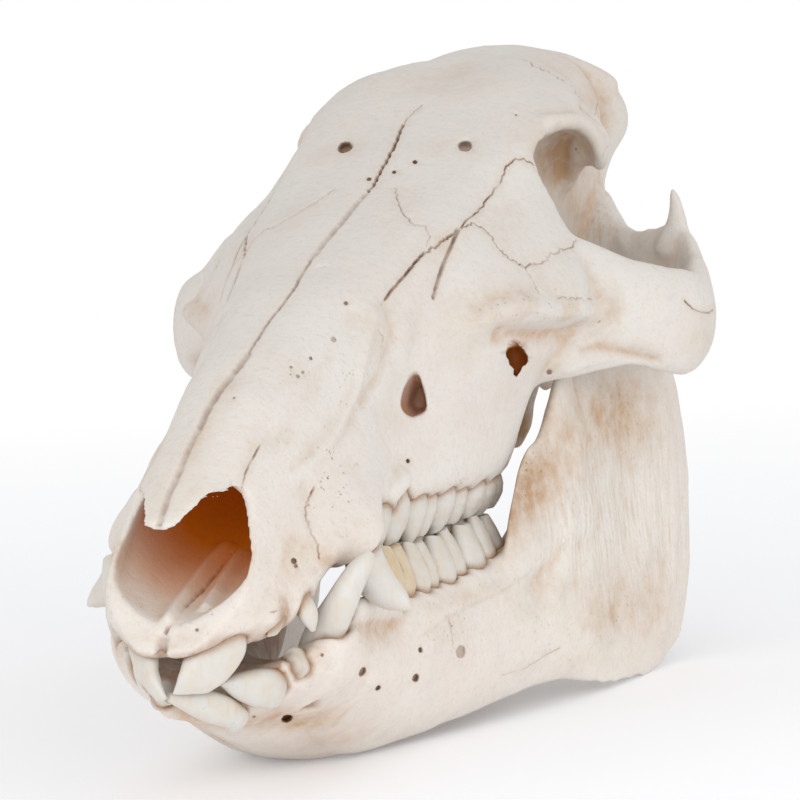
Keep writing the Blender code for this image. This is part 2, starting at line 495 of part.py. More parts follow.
def make_nose_mouth(collection):
    """The slanting bite that leaves the nasal bones overhanging the opening of the nose."""
    mesh = bmesh.new()
    outline = [mesh.verts.new(metres((-NOSE_BITE_REACH, y, z))) for y, z in NOSE_MOUTH]
    side = mesh.faces.new(outline)
    grown = bmesh.ops.extrude_face_region(mesh, geom=[side])
    far_side = [item for item in grown["geom"] if isinstance(item, bmesh.types.BMVert)]
    bmesh.ops.translate(mesh, vec=(2 * NOSE_BITE_REACH * MM, 0.0, 0.0), verts=far_side)
    bmesh.ops.recalc_face_normals(mesh, faces=mesh.faces)
    data = bpy.data.meshes.new("nose mouth")
    mesh.to_mesh(data)
    mesh.free()
    shape = bpy.data.objects.new("nose mouth", data)
    collection.objects.link(shape)
    return shape


def make_jaw(parts, hollows):
    """The lower jaw: joined front, two branches and two joints, cut off flat where it rests."""
    branch = section_loft("branch", JAW_BRANCH, parts, whole=False)
    forms = [section_loft("chin", CHIN, parts), branch, mirror_twin(branch, parts)]
    forms += mirrored_limbs(parts, [("joint", JAW_JOINT)])
    jaw = join_shapes("mandible", forms, parts)
    block = bmesh.new()
    bmesh.ops.create_cube(block, size=1.0)
    bmesh.ops.scale(block, vec=(0.4, 0.6, 0.02), verts=block.verts)
    bmesh.ops.translate(block, vec=(0.0, 0.0, -0.01), verts=block.verts)
    data = bpy.data.meshes.new("resting plane")
    block.to_mesh(data)
    block.free()
    floor = bpy.data.objects.new("resting plane", data)
    hollows.objects.link(floor)
    as_cutter(floor)
    grow_as_one_bone(jaw, 5, JAW_KEEP, hollows)
    return jaw


def build_skull():
    for item in list(bpy.data.objects):
        bpy.data.objects.remove(item, do_unlink=True)
    scene = bpy.context.scene
    groups = {}
    for name in ("bush pig skull", "cranium cutters", "jaw cutters", "tooth sockets"):
        groups[name] = bpy.data.collections.new(name)
        scene.collection.children.link(groups[name])
    parts = groups["bush pig skull"]
    cranium = make_cranium(parts, groups["cranium cutters"])
    jaw = make_jaw(parts, groups["jaw cutters"])
    for tooth in make_teeth(parts, "upper") + make_teeth(parts, "lower"):
        tooth.data.materials.append(material(tooth.name + " enamel", ENAMEL, 0.35))
        grown_copy(tooth, SOCKET_GAP, groups["tooth sockets"])
    for bone_piece in (cranium, jaw):
        bone_piece.data.materials.append(material(bone_piece.name + " bone", BONE, 0.6))
        subtract(bone_piece, groups["tooth sockets"], "tooth sockets")


build_skull()
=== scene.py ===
# Bush pig skull: the fine surface of both bones and of all the teeth, with their finishes, light, floor
# and camera. Measured points are in millimetres: X to the animal's left, Y back from the nasal tips, Z
# up. The function standing() turns them to the skull as it stands, and meshes are made in metres.
import math

import bmesh
import bpy
import json
import numpy as np
from bpy.props import FloatProperty, FloatVectorProperty, IntProperty, PointerProperty
from mathutils import Matrix, Vector
from mathutils.bvhtree import BVHTree

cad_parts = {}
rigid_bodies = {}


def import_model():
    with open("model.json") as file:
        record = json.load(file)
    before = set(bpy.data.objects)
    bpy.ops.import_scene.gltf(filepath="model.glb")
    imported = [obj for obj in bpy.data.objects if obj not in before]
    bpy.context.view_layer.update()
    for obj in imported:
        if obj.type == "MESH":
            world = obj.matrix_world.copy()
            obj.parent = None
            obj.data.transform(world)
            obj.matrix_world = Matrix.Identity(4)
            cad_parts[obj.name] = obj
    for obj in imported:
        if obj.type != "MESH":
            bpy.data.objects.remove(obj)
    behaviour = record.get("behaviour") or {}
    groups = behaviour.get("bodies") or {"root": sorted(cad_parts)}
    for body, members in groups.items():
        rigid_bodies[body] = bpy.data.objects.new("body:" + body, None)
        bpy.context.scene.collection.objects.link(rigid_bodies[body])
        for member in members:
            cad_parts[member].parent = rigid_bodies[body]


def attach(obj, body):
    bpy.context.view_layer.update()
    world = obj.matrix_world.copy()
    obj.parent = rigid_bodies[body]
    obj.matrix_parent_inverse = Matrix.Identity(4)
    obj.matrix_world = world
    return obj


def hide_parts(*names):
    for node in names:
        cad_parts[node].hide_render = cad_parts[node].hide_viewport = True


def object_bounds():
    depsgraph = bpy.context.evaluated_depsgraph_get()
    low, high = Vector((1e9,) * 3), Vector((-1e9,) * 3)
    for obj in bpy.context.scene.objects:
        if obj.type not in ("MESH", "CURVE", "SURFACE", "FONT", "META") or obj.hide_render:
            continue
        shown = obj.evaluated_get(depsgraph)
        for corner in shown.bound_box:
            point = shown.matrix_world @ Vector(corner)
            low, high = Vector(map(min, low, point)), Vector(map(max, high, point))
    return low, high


bl_info = {
    "name": "Bush pig skull",
    "version": (1, 0, 0),
    "blender": (4, 5, 0),
    "location": "View3D > Sidebar > Skull",
    "description": "Builds a dried bush pig skull with its teeth on a pale floor",
    "category": "Object",
}

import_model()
SOLIDS_LOW, SOLIDS_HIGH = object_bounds()

# The middle of the footprint, and the two heights and distances back at which the lower jaw rests.
MM = 0.001
CENTRE_Y = 181.6
CHIN_REST = (110.0, -6.2)
ANGLE_REST = (281.0, -0.8)
STANDING_TURN = math.atan2(ANGLE_REST[1] - CHIN_REST[1], ANGLE_REST[0] - CHIN_REST[0])

# How finely forms are drawn: points round sections, limbs, front teeth and cusps, rings along a front
# tooth, and then steps and grids in millimetres.
RING_POINTS = 64
LIMB_POINTS = 24
TOOTH_POINTS = 28
CUSP_POINTS = 20
TOOTH_LEVELS = 26
STATION_STEP = 4.0
LIMB_STEP = 2.5
FUSE_GRID = 1.6
TOOTH_GRID = 0.42

# The share of its length by which a limb rises where it counts as steep, the share of a cheek tooth's faces
# that stays, and how far the bones keep inside the solids' box, in millimetres.
STEEP = 0.8
TOOTH_KEPT = 0.4
BOX_MARGIN = 0.02

# Marks that a bone's finish reads from its mesh.
MARKS = ("crack", "stain", "nose", "fibre", "pores", "hollow", "gum", "grease")

# The camera of the photograph: half the image and focal length in pixels, where it stands, how it is turned.
IMAGE_MIDDLE = 400.0
FOCAL_PIXELS = 3950.0
CAMERA_POINT = (429.36, -1033.05, 174.26)
CAMERA_AZIMUTH = math.radians(19.0)
CAMERA_HEIGHT = math.radians(3.3)
CAMERA_ROLL = math.radians(1.5)
SENSOR = 36.0

# Paths under pixels: the step in pixels, and the widest gap in millimetres that a path bridges.
PATH_STEP = 2.2
PATH_GAP = 14.0

# Lines: bands that are split finer on each side of wide and slim ones, the half width under which a line
# is slim, its mean depth, raggedness and lumps, where its dark floor ends and how steeply, and the stain
# beside it.
REFINE_BANDS = ((1.5, 1.2), (0.5, 0.35))
SLIM_LINE = 0.5
LINE_DEPTH = 0.75
LINE_RAGGED = 0.35
LINE_LUMP = 2.2
LINE_FLOOR = 1.25
LINE_SLOPE = 1.15
HALO_WIDTH = 1.2
HALO_TONE = 0.25

# Pits, in radii: the band that is split finer, the raggedness, where the wall and the dark start and how
# wide they are, the lip and the stain round it. Pits are drilled along the line of sight more than along
# the normal.
PIT_BAND = 1.5
PIT_RAGGED = 0.08
PIT_WALL = (1.12, 0.3)
PIT_DARK = (1.06, 0.22)
PIT_LIP = (0.12, 1.4)
PIT_HALO = (0.3, 1.5)
PIT_SIGHT_SHARE = 5

# Patches: how deep behind their middle they reach, how cloudy they are, the clouds' size, and how fast
# they fade.
PATCH_DEPTH = 60
PATCH_CLOUD = 0.45
PATCH_LUMP = 5.0
PATCH_FALL = 1.2

# Bone round a tooth, in millimetres: how far it is felt, the groove's width, and the collar's distance,
# width and heights. Then how far a tooth's brown neck and its worn end reach, and the worn end's tone.
TOOTH_REACH = 5
GROOVE_WIDTH = 0.9
COLLAR_AT = 2.4
COLLAR_WIDTH = 1.3
COLLAR = 0.35
CANINE_COLLAR = 1.1
NECK_REACH = 1.1
WORN_REACH = 2.2
WORN_TONE = 0.5

# Faces that thinning spares: where cracks and gums are darker than this.
CRACK_KEPT = 0.04
GUM_KEPT = 0.5

# Sections of the face, from the nasal tips back to the front of the orbits. Each row is the distance back,
# then the left half of the section from the top midline, down the side and in to the palate's midline.
FACE = [
    (0.5, [(0, 77), (4, 76), (8, 72.5), (11, 66), (12.5, 62), (13, 58), (13, 54), (12.5, 49), (11, 44),
           (8, 39.5), (4, 38), (0, 38)]),
    (12, [(0, 85), (8, 83.5), (14.5, 79), (19, 71), (20.8, 66), (21.5, 60), (21.6, 54), (20.8, 49),
          (18.5, 44), (13, 39), (6, 38), (0, 38)]),
    (25, [(0, 93.5), (9, 91.5), (16.6, 84), (20.3, 76), (21.8, 70), (23.2, 64), (24.8, 57), (26.4, 50),
          (26.6, 45), (20, 40), (10, 40), (0, 41)]),
    (36, [(0, 100.5), (9.5, 98.5), (17.4, 90.5), (21.2, 82), (23, 75.5), (24.8, 69), (27, 62.5), (30, 55),
          (30, 48.5), (22, 43.5), (11, 44), (0, 45)]),
    (45, [(0, 106), (10, 104), (18, 96), (22, 87), (24, 80), (26.5, 74), (29.5, 68), (32.3, 61), (32, 54.5),
          (25, 48.5), (12, 48), (0, 49)]),
    (53, [(0, 110.5), (10.5, 109), (18.6, 101), (22.5, 92), (24.6, 85), (27.6, 78.5), (32, 72), (37, 66.5),
          (35, 61), (26, 56.5), (12, 52), (0, 53)]),
    (65, [(0, 117), (11, 115.5), (19.5, 108), (23, 98), (25.5, 90), (30, 84), (36.5, 77.5), (42.5, 69.5),
          (42.5, 62), (31, 58), (13, 57), (0, 58)]),
    (85, [(0, 126.5), (12, 125), (20.5, 117), (25, 107), (27, 98), (30.5, 92), (35, 85), (38.5, 77.5),
          (34, 71), (23, 66), (12, 65), (0, 66)]),
    (110, [(0, 139), (13, 138), (22.5, 131), (27.5, 121), (28.5, 112), (29, 104), (30, 96), (32, 87),
           (34, 75), (25, 70), (12, 72), (0, 72)]),
    (130, [(0, 147), (14, 146), (25, 140), (30.5, 131), (32, 122), (32, 113), (32.5, 103), (35, 91),
           (37, 74), (25, 70), (12, 73), (0, 74)]),
    (150, [(0, 155.5), (15, 155), (28, 149), (36, 140), (41, 131), (44, 124.5), (42, 117), (41, 100),
           (39, 74.5), (25, 70), (12, 74), (0, 75)]),
    (170, [(0, 164), (16, 163), (33, 157.5), (43, 149), (51.5, 138), (57.5, 129), (53, 119), (46, 102),
           (40.5, 74), (25, 70), (12, 75), (0, 76)]),
    (190, [(0, 172.5), (17, 171), (32, 167), (41, 160), (53, 146), (63, 131), (57, 119), (49, 104),
           (41.5, 75), (26, 70), (12, 76), (0, 77)]),
    (204, [(0, 179), (19, 177), (36, 172.5), (44, 164), (57, 149), (68.5, 132), (61, 119), (50, 104),
           (39, 77), (26, 74), (12, 79), (0, 80)]),
    (216, [(0, 184.5), (20, 182.5), (41, 177), (47, 168), (56, 155), (67, 134), (60, 119), (46, 104),
           (33, 88), (24, 84), (12, 84), (0, 86)]),
    (226, [(0, 189), (20, 187), (44, 182), (47.5, 172), (53.5, 160), (62, 140), (56, 122), (42, 106),
           (28, 94), (20, 92), (12, 90), (0, 90)]),
]

# Sections of the braincase and the forehead's roof, in the same order: roof, temporal wall and skull base.
BRAINCASE = [
    (196, [(0, 175), (20, 173), (33, 169), (34, 161), (32, 146), (28, 126), (24, 108), (16, 94), (0, 92)]),
    (210, [(0, 182), (20, 180), (38, 175), (38, 169), (34, 160), (28, 136), (24, 114), (16, 96), (0, 94)]),
    (222, [(0, 187), (22, 185), (43, 180.5), (43, 174.5), (34, 170), (27, 144), (23, 117), (16, 98),
           (0, 95)]),
    (236, [(0, 193), (23, 192), (45.5, 187), (45, 182), (33, 178), (27, 146), (23, 118), (16, 98),
           (0, 95)]),
    (250, [(0, 199), (24, 199), (46.5, 192), (46, 187), (33, 181), (27, 148), (23, 120), (17, 99),
           (0, 95)]),
    (263, [(0, 203), (25, 204.5), (47.5, 194), (47, 188), (33, 182), (28, 150), (25, 123), (19, 101),
           (0, 97)]),
    (277, [(0, 206.5), (23, 209), (46, 198), (43, 189), (33, 179), (30, 152), (27, 126), (21, 103),
           (0, 98)]),
    (290, [(0, 210), (20, 212), (42, 201.5), (41.5, 189), (37, 175), (32, 153), (29, 128), (23, 104),
           (0, 99)]),
    (309, [(0, 215), (17, 214), (33, 205), (39.5, 191), (38, 175), (34, 153), (31, 129), (24, 105),
           (0, 100)]),
    (328, [(0, 219), (16, 217), (31.5, 210), (39, 196), (38, 178), (36, 156), (32, 131), (24, 106),
           (0, 101)]),
    (340, [(0, 219), (14, 217), (27, 210), (33, 196), (34, 178), (30, 156), (26, 133), (20, 110),
           (0, 106)]),
]

# Limbs are lofts of ovals along a path. Each row: centre x, y, z, half thickness, half height, lean in
# degrees.
ARCH = [
    (30, 212, 131, 9, 23, 0), (44, 214, 130.5, 9, 27.5, 8), (56, 217, 129.5, 9, 25, 12),
    (66, 225, 128, 8.5, 21.5, 8), (75, 234, 126, 8.5, 18, 4), (83, 243, 123, 8.5, 18, 2),
    (88, 252, 121.5, 8, 18, 0), (89.6, 262, 122.5, 7, 16, 0), (87.6, 273, 127.5, 5.5, 15.5, 0),
    (85, 281, 131, 4.5, 15, 0), (82, 287, 135, 4, 16, 0), (78.5, 291, 136.5, 3.6, 17, 0),
    (76, 293, 137.5, 3.4, 17.5, 0), (73.8, 294.8, 138, 3.4, 17.3, 0), (71.5, 296.5, 138, 3.6, 16.6, 0),
    (68.5, 298.6, 138, 3.8, 15.5, 0), (64, 302, 138, 4.4, 14.6, 0), (58, 307, 137.5, 5, 14.2, 0),
    (49, 315, 139, 6, 16, 0), (36, 322, 142, 8, 20, 0),
]
ARCH_SPIKE = [
    (74.4, 292, 143, 7.6, 3.6, 0), (75.2, 292, 149, 5.9, 3.4, 0), (76, 292.4, 154.4, 3.8, 3, 0),
    (75.8, 292.9, 159.4, 2.6, 2.4, 0), (75, 293.2, 163.6, 1.9, 1.9, 0), (74.4, 293.2, 167, 1.3, 1.4, 0),
]
NUCHAL_CREST = [
    (0, 336, 210, 9, 9, 0), (15, 339, 208.5, 8, 8.5, 0), (28, 342.5, 204, 6.5, 8.5, 0),
    (36.6, 345, 198, 6.3, 8.5, 0), (39.4, 345, 190.5, 5.2, 8, 0), (35, 341, 180, 4.6, 8, 0),
    (32, 334, 167, 6, 10, 0), (38.5, 326, 154, 7, 10, 0), (46, 319, 144, 7, 10, 0),
]
BROW_HORN = [(41, 267, 191, 8, 4.5, 0), (48, 271, 188.5, 7.5, 4.4, 0), (52, 274, 182.5, 6, 3.8, 0),
             (53.4, 276.5, 176.5, 3.4, 2.6, 0), (53.2, 277.5, 173, 1.4, 1.2, 0)]
BROW_RIM = [(44, 242, 189.5, 3, 3, 0), (49.2, 250.5, 190, 3, 3, 0), (52, 259.5, 189.2, 3, 3, 0),
            (54, 265, 185.8, 3, 3, 0), (54.8, 270, 179.6, 2.6, 2.6, 0), (53.6, 276, 174.2, 1.6, 1.6, 0)]
BROW_PLATE = [(52.6, 277, 181.5, 2.6, 7.8, 0), (47.5, 281, 184, 3.6, 10.5, 0), (43, 285.5, 185, 4, 13, 0),
              (38.5, 290.5, 184, 4.5, 14, 0), (34, 293, 182, 5, 15, 0), (28, 295, 178, 5, 16, 0)]
PTERYGOID = [
    (17, 205, 84, 4, 12, 0), (17, 222, 84, 3, 13, 0), (17.5, 238, 84, 2.5, 13, 0), (18, 252, 92, 3, 9, 0),
]
BULLA = [
    (20, 286, 104, 8, 8, 0), (19, 285, 94, 6, 6.5, 0), (18.6, 283, 84, 5.4, 5.4, 0),
    (18, 282, 76.5, 2.2, 2.2, 0),
]
SIDE_PROCESS = [
    (34, 318, 122, 9, 9, 0), (34, 318, 105, 7, 9, 0), (33.5, 317, 88, 4.5, 7, 0),
    (33, 315, 70, 2.5, 3.5, 0),
]
CONDYLE = [(8, 334, 100, 8, 9, 0), (15, 336, 107, 9, 11, 0), (19, 334, 117, 7, 9, 0)]

# Lower jaw: the joined front, then the left branch from the canine back to the angle and the joint.
CHIN = [
    (22, [(0, 22.5), (8, 23), (13, 24), (13, 21), (8, 17.5), (0, 17)]),
    (30, [(0, 28), (12, 29), (22.5, 31), (19.5, 23.5), (10, 17), (0, 15)]),
    (42, [(0, 30), (16, 32), (34.5, 37.5), (31, 27), (14, 16), (0, 11.5)]),
    (56, [(0, 29), (18, 31), (40.5, 40.5), (37.5, 26), (15, 13), (0, 7)]),
    (70, [(0, 28), (18, 31), (38, 38), (37, 24), (16, 8), (0, 2.3)]),
    (85, [(0, 27), (18, 31), (36, 39), (39, 22), (16, 2.5), (0, -2)]),
    (98, [(0, 25), (16, 28), (33, 40), (40, 20), (14, -3), (0, -5)]),
    (110, [(0, 20), (14, 24), (31, 40), (40, 19), (12, -6), (0, -6.8)]),
    (118, [(0, 10), (12, 16), (29, 38), (40, 19), (14, -4), (0, -4)]),
]
JAW_BRANCH = [
    (72, [(33, 38), (38, 33), (38, 23), (31, 16), (18, 8), (12, 12), (15, 24), (25, 35)]),
    (90, [(34, 41), (39, 35), (40, 23), (31, 10), (16, 0), (11, 8), (18, 25), (26, 38)]),
    (108, [(36, 44), (40, 38), (42, 24), (33, 5), (15, -5.5), (8, 4), (21, 26), (27, 42)]),
    (130, [(39, 44.5), (43, 38), (44, 24), (37, 5), (24, -3.6), (17, 8), (24, 27), (28, 43)]),
    (155, [(42, 46.3), (45.5, 39.6), (47.5, 25), (43, 8), (34, -1), (27, 11), (28, 28), (30, 44.6)]),
    (180, [(44.5, 50), (49, 43.4), (52, 27), (49, 12), (42, 1.8), (34, 13), (31, 29), (33, 48)]),
    (199, [(44, 56), (51, 47), (56, 28), (54, 13), (48, 4.3), (40, 14), (36, 30), (37, 51)]),
    (214, [(47, 74), (55, 62), (59, 40), (59, 15), (53, 4.6), (45, 15), (41, 38), (42, 64)]),
    (226, [(49, 92), (57, 76), (61, 48), (62, 15), (57, 2.6), (50, 15), (46, 46), (45, 78)]),
    (240, [(51, 120), (57, 92), (61, 54), (64, 15), (61, -0.2), (55, 16), (50, 54), (46, 100)]),
    (252, [(52, 134), (58, 100), (62, 56), (66, 14), (63, -1.2), (58, 16), (53, 56), (48, 108)]),
    (266, [(56, 122), (61, 98), (64, 56), (67, 14), (64.5, -1.6), (60, 16), (56, 56), (51, 106)]),
    (282, [(61, 112), (65, 94), (67, 56), (69, 15), (66, -1.4), (61, 17), (58, 56), (55, 98)]),
    (298, [(65, 112), (69, 92), (70.5, 56), (70.5, 18), (67, 2.4), (63, 18), (61, 56), (60, 94)]),
    (311, [(68, 102), (71, 86), (72, 56), (71.5, 24), (69, 9), (66, 24), (65.5, 56), (65, 86)]),
    (319, [(69.5, 76), (71, 66), (71.5, 52), (71, 34), (69.5, 22), (68, 34), (67.5, 52), (68, 66)]),
]
TOOTH_RIDGE = [
    (36, 57, 36, 3, 4, 0), (37.6, 64, 44.4, 2.8, 4.8, 0), (37.2, 73, 44.2, 2.8, 4.2, 0),
    (36.8, 84, 42.8, 3, 3.6, 0), (37.4, 98, 42, 3, 3, 0),
]
BLADE_FRONT = [
    (176, [(47.2, 54), (48.6, 48), (49, 38), (46, 36), (46, 48)]),
    (181, [(47.8, 65), (49.8, 54), (50, 38), (46, 36), (46.2, 52)]),
    (188, [(48.2, 74), (51, 60), (51.4, 40), (45, 38), (45.6, 57)]),
    (198, [(49.2, 84), (52.8, 66), (53, 44), (41, 42), (42.4, 60)]),
    (206, [(51, 87.5), (54.4, 72), (55, 48), (42, 46), (43.4, 66)]),
    (214, [(53, 97), (56.4, 78), (57.5, 50), (43, 48), (44.8, 74)]),
    (222, [(53.4, 109), (57.5, 86), (60, 50), (45, 50), (46.4, 83)]),
    (232, [(53, 116), (57, 90), (61, 52), (47, 52), (47.6, 88)]),
]
JAW_JOINT = [
    (55, 296, 111, 4, 4, 0), (61, 298, 113, 7, 6.5, 0), (70, 298, 113, 7.5, 6.5, 0),
    (78, 297, 111, 4.5, 4.5, 0),
]

# Hollows of the cranium.
NOSE_HOLLOW = [
    (-12, [(0, 74), (7, 73), (10.5, 68), (12, 60), (10, 53), (5, 47), (0, 45)]),
    (2, [(0, 74), (7, 73), (10.5, 69), (12, 60), (10, 53), (5, 47), (0, 45)]),
    (12, [(0, 80.5), (7, 79), (13, 75), (18.6, 66), (18.6, 57.5), (11, 50.5), (0, 48.6)]),
    (25, [(0, 89), (7, 87.5), (13.5, 82), (19, 72), (21, 62), (14, 54.5), (0, 52)]),
    (45, [(0, 101.5), (7, 100), (14.5, 93), (20, 82), (22, 72), (15, 61), (0, 58)]),
    (75, [(0, 117), (8, 115.5), (16, 107), (20.5, 96), (21, 84), (14, 72.5), (0, 70)]),
    (110, [(0, 133.5), (9, 132), (18, 124), (22, 111), (21, 95), (15, 82), (0, 79)]),
    (150, [(0, 150), (9, 148), (20, 140), (26, 124), (24, 104), (16, 86), (0, 82)]),
    (185, [(0, 152), (8, 150), (16, 143), (20, 126), (18, 106), (12, 89), (0, 86)]),
]
NOSE_EDGE = 200.0
NOSE_SLANT = 0.54
NOSE_DEPTH = 46.0
NOSE_MOUTH = [
    (-14, 73), (0, 73.5), (12, 79.5), (21, 83), (26, 84), (27, 81), (22.5, 73), (18.5, 66), (12, 56.5),
    (8.5, 51.5), (5.5, 46.5), (3, 42.5), (0.5, 38.5), (-3, 36), (-14, 34),
]

# Marks inside the mouth and nose, in millimetres: where the palate, the trough behind the lower front
# teeth and the jaw's inner walls end, how dark their brown and painted shade are, and which faces count
# as the nose's lining.
PALATE_HALF_WIDTH = 33.0
PALATE_REACH = 6.0
TROUGH_HALF_WIDTH = 24.0
TROUGH_BACK = -78.0
WALL_BACK = 20.0
MOUTH_BROWN_AND_SHADE = 0.65
NOSE_REACH = 4.5
NOSE_HALF_WIDTH = 34.0
NOSE_REAR = 20.0
NOSE_FACING = -0.2

# Above this height the nose's mouth is lifted, by how far aside it is.
NOSE_UPPER_EDGE = 70.0
NOSE_EDGE_LIFT = [
    (-40, 0.0), (-16, 0.5), (-10, 3.0), (-5, 1.5), (0, 0.0), (5, 1.5), (10, 3.0), (16, 0.5), (40, 0.0),
]

# Passages and sockets, as limbs.
THROAT = [
    (0, 150, 102, 14, 14, 0), (0, 185, 96, 13, 12, 0), (0, 215, 88, 13, 12, 0), (0, 248, 74, 14, 16, 0),
]
BRAIN = [
    (0, 262, 146, 13, 14, 0), (0, 285, 145, 21, 24, 0), (0, 310, 138, 20, 22, 0), (0, 330, 124, 13, 14, 0),
    (0, 354, 119, 11, 12, 0),
]
ORBIT_POCKET = [(54, 233.5, 175, 9, 11, 0), (49, 250.5, 175, 10.3, 12.6, 0), (45.6, 262, 175, 10.5, 13, 0),
                (42.6, 272, 175.5, 9.6, 12, 0), (41, 277.5, 176, 7, 9, 0), (40.2, 280, 176, 3.5, 5, 0)]
ORBIT = [
    (66, 258, 172, 14, 15, 0), (52, 246, 172.5, 14, 14.5, 0), (42, 238, 170, 13, 13.5, 0),
    (34, 232, 165, 9, 10, 0),
]

# Front teeth are lofts from the root's end to the crown's edge. Each row: one edge of the tooth, its
# other edge, and half its thickness. The two sides differ, as the right front teeth sit higher, lean in
# and are worn.
UPPER_FRONT_LEFT = {
    "incisor_1": [((9, 13, 45.5), (15, 17, 46.5), 2.2), ((5, 6.6, 38.6), (19, 17, 43.4), 2.8),
                  ((3.9, 4.2, 34.3), (18.6, 16.6, 36.8), 2.6), ((2.6, 3.6, 30.2), (14.8, 12.6, 30.8), 1.9),
                  ((1.4, 4, 27.4), (10.4, 9.6, 27.4), 1.0)],
    "incisor_2": [((24, 28, 53), (26, 32, 52.5), 1.2), ((23.6, 26.4, 49.4), (27, 30.6, 48.6), 1.5),
                  ((22.8, 24.6, 45.4), (26.6, 29, 45), 1.5), ((23, 23.6, 41.8), (25.2, 26.4, 42.2), 0.8)],
    "incisor_3": [((25, 38, 56), (27.4, 42, 56.5), 1.6), ((27.6, 35.6, 49), (31.6, 40, 50), 2.1),
                  ((29.4, 35.4, 45), (32.8, 39.8, 46.2), 1.8), ((31.2, 38, 41.8), (32, 39.4, 42), 0.6)],
    "canine": [((33, 74, 77), (30, 66, 70), 3.6), ((40, 72.5, 66), (33, 64, 60.5), 4.6),
               ((42.6, 71.6, 59.6), (35.2, 62.2, 54.6), 4.8), ((46, 70.8, 54.6), (39.4, 63.6, 49), 4.4),
               ((49.6, 70, 50.3), (43.6, 65, 46), 3.4), ((51.6, 69, 47), (48.4, 66.4, 44.8), 1.9),
               ((52.2, 68.4, 45.4), (51.2, 67.6, 44.6), 0.8)],
}
UPPER_FRONT_RIGHT = {
    "incisor_1": [((-9, 13, 45.5), (-15, 17, 46.5), 2.2), ((-4.8, 7, 38.4), (-15.6, 14.6, 40.6), 2.7),
                  ((-4, 5.4, 33.4), (-12.4, 10.6, 34.2), 2.4), ((-2.4, 4.6, 29.4), (-9, 8.4, 29.4), 1.8),
                  ((-0.8, 4.8, 26), (-4.6, 6.6, 25), 0.9)],
}
LOWER_FRONT_LEFT = {
    "incisor_1": [((11, 33, 17), (7, 31, 12.6), 2.2), ((14, 27.6, 20.8), (9.8, 25, 15), 3.0),
                  ((11.6, 21.6, 24.8), (5.8, 17, 17.6), 3.3), ((6, 14.4, 27.4), (1.4, 11.2, 21.6), 3.0),
                  ((-0.8, 8, 27.2), (-1.6, 7.6, 24.6), 1.3)],
    "incisor_2": [((23.4, 36.5, 28), (20.2, 36.5, 20.4), 2.2), ((23, 33.2, 31), (19.6, 32.8, 19.8), 3.2),
                  ((19.8, 28, 32), (17, 27, 20.8), 3.6), ((15.2, 22.6, 31.4), (13.8, 21.2, 24), 3.0),
                  ((11.6, 17.2, 29.6), (11.2, 16.6, 28.2), 1.1)],
    "incisor_3": [((25.4, 45, 31), (28, 45, 25.6), 2.2), ((25, 38.8, 36.4), (28.8, 38.8, 28.6), 3.2),
                  ((24.9, 36.4, 37), (28.8, 36.2, 28.4), 3.4), ((25.4, 35.2, 35.4), (28.2, 35, 30), 2.4)],
    "canine": [((18, 57, 20.7), (24, 57, 17.3), 3.0), ((22, 50.5, 33), (33, 52, 28.5), 4.4),
               ((25.4, 48.5, 40.8), (36, 51.5, 36.8), 5.0), ((31.8, 47.5, 49.6), (40.3, 50.2, 45.2), 4.5),
               ((37.9, 49.5, 58.5), (43.6, 52.2, 54.6), 3.5), ((41.5, 51, 62.2), (45.2, 53.6, 58.9), 2.5),
               ((44.1, 52.5, 63.8), (45.6, 54.6, 62.3), 0.9)],
}
LOWER_FRONT_RIGHT = {
    "incisor_1": [((-17, 34, 22), (-13, 32, 19), 2.2), ((-13.6, 27.4, 25.4), (-8, 24.6, 20.8), 3.0),
                  ((-8, 20, 29), (-4, 15.6, 24.6), 2.4), ((-4, 13, 27), (-2, 10.4, 23.4), 1.5)],
    "incisor_2": [((-21.6, 35.5, 30), (-19, 35.5, 25.5), 2.0),
                  ((-20.6, 32, 32.6), (-16.4, 31.6, 24.6), 2.9), ((-17.6, 25, 34), (-14, 25, 27), 2.2)],
    "incisor_3": [((-22, 41.5, 27), (-25.6, 42, 26), 2.0), ((-23.4, 39.6, 33), (-27.4, 38, 32), 2.2),
                  ((-24, 37.4, 36), (-27, 35.6, 35), 1.7)],
    "canine": [((-18, 57, 20.7), (-24, 57, 17.3), 3.0), ((-21, 52, 31.5), (-29, 51.5, 27), 4.4),
               ((-25, 48, 43.6), (-35.2, 48, 38.4), 5.0), ((-28.8, 48.6, 52), (-37.4, 49.6, 47.6), 4.6),
               ((-32, 50.6, 58.4), (-39, 51.4, 55.2), 3.4), ((-36, 52.2, 62.2), (-39.6, 52.8, 60.4), 1.6)],
}

# Cheek teeth. Each row: name, middle's distance back, length, width, lobes along it, and how yellow it is.
UPPER_CHEEK = [("premolar_2", 96.6, 9.4, 7, 1, 0.1), ("premolar_3", 105.8, 8.6, 9, 1, 0.1),
               ("premolar_4", 117.6, 14.4, 12.5, 1, 0.1), ("molar_1", 135.6, 21, 14, 2, 0.15),
               ("molar_2", 158.4, 24, 16.4, 2, 0.1), ("molar_3", 186.2, 31, 16.6, 3, 0.1)]
LOWER_CHEEK = [("premolar_3", 91.5, 10.5, 6.5, 1, 0.1), ("premolar_4", 108, 21.6, 9.5, 2, 0.9),
               ("molar_1", 128.6, 19, 11.5, 2, 0.25), ("molar_2", 149.4, 22, 13.5, 2, 0.15),
               ("molar_3", 177, 32.4, 14, 3, 0.1)]
UPPER_LINE = [(88, 31.6), (102, 33), (125, 35.5), (146, 37.5), (170, 40), (202, 42.4)]
LOWER_LINE = [
    (84, 35.4), (99.5, 37.5), (120, 38.5), (135, 39.5), (147, 41), (160, 42), (172, 43.7), (193, 46),
]

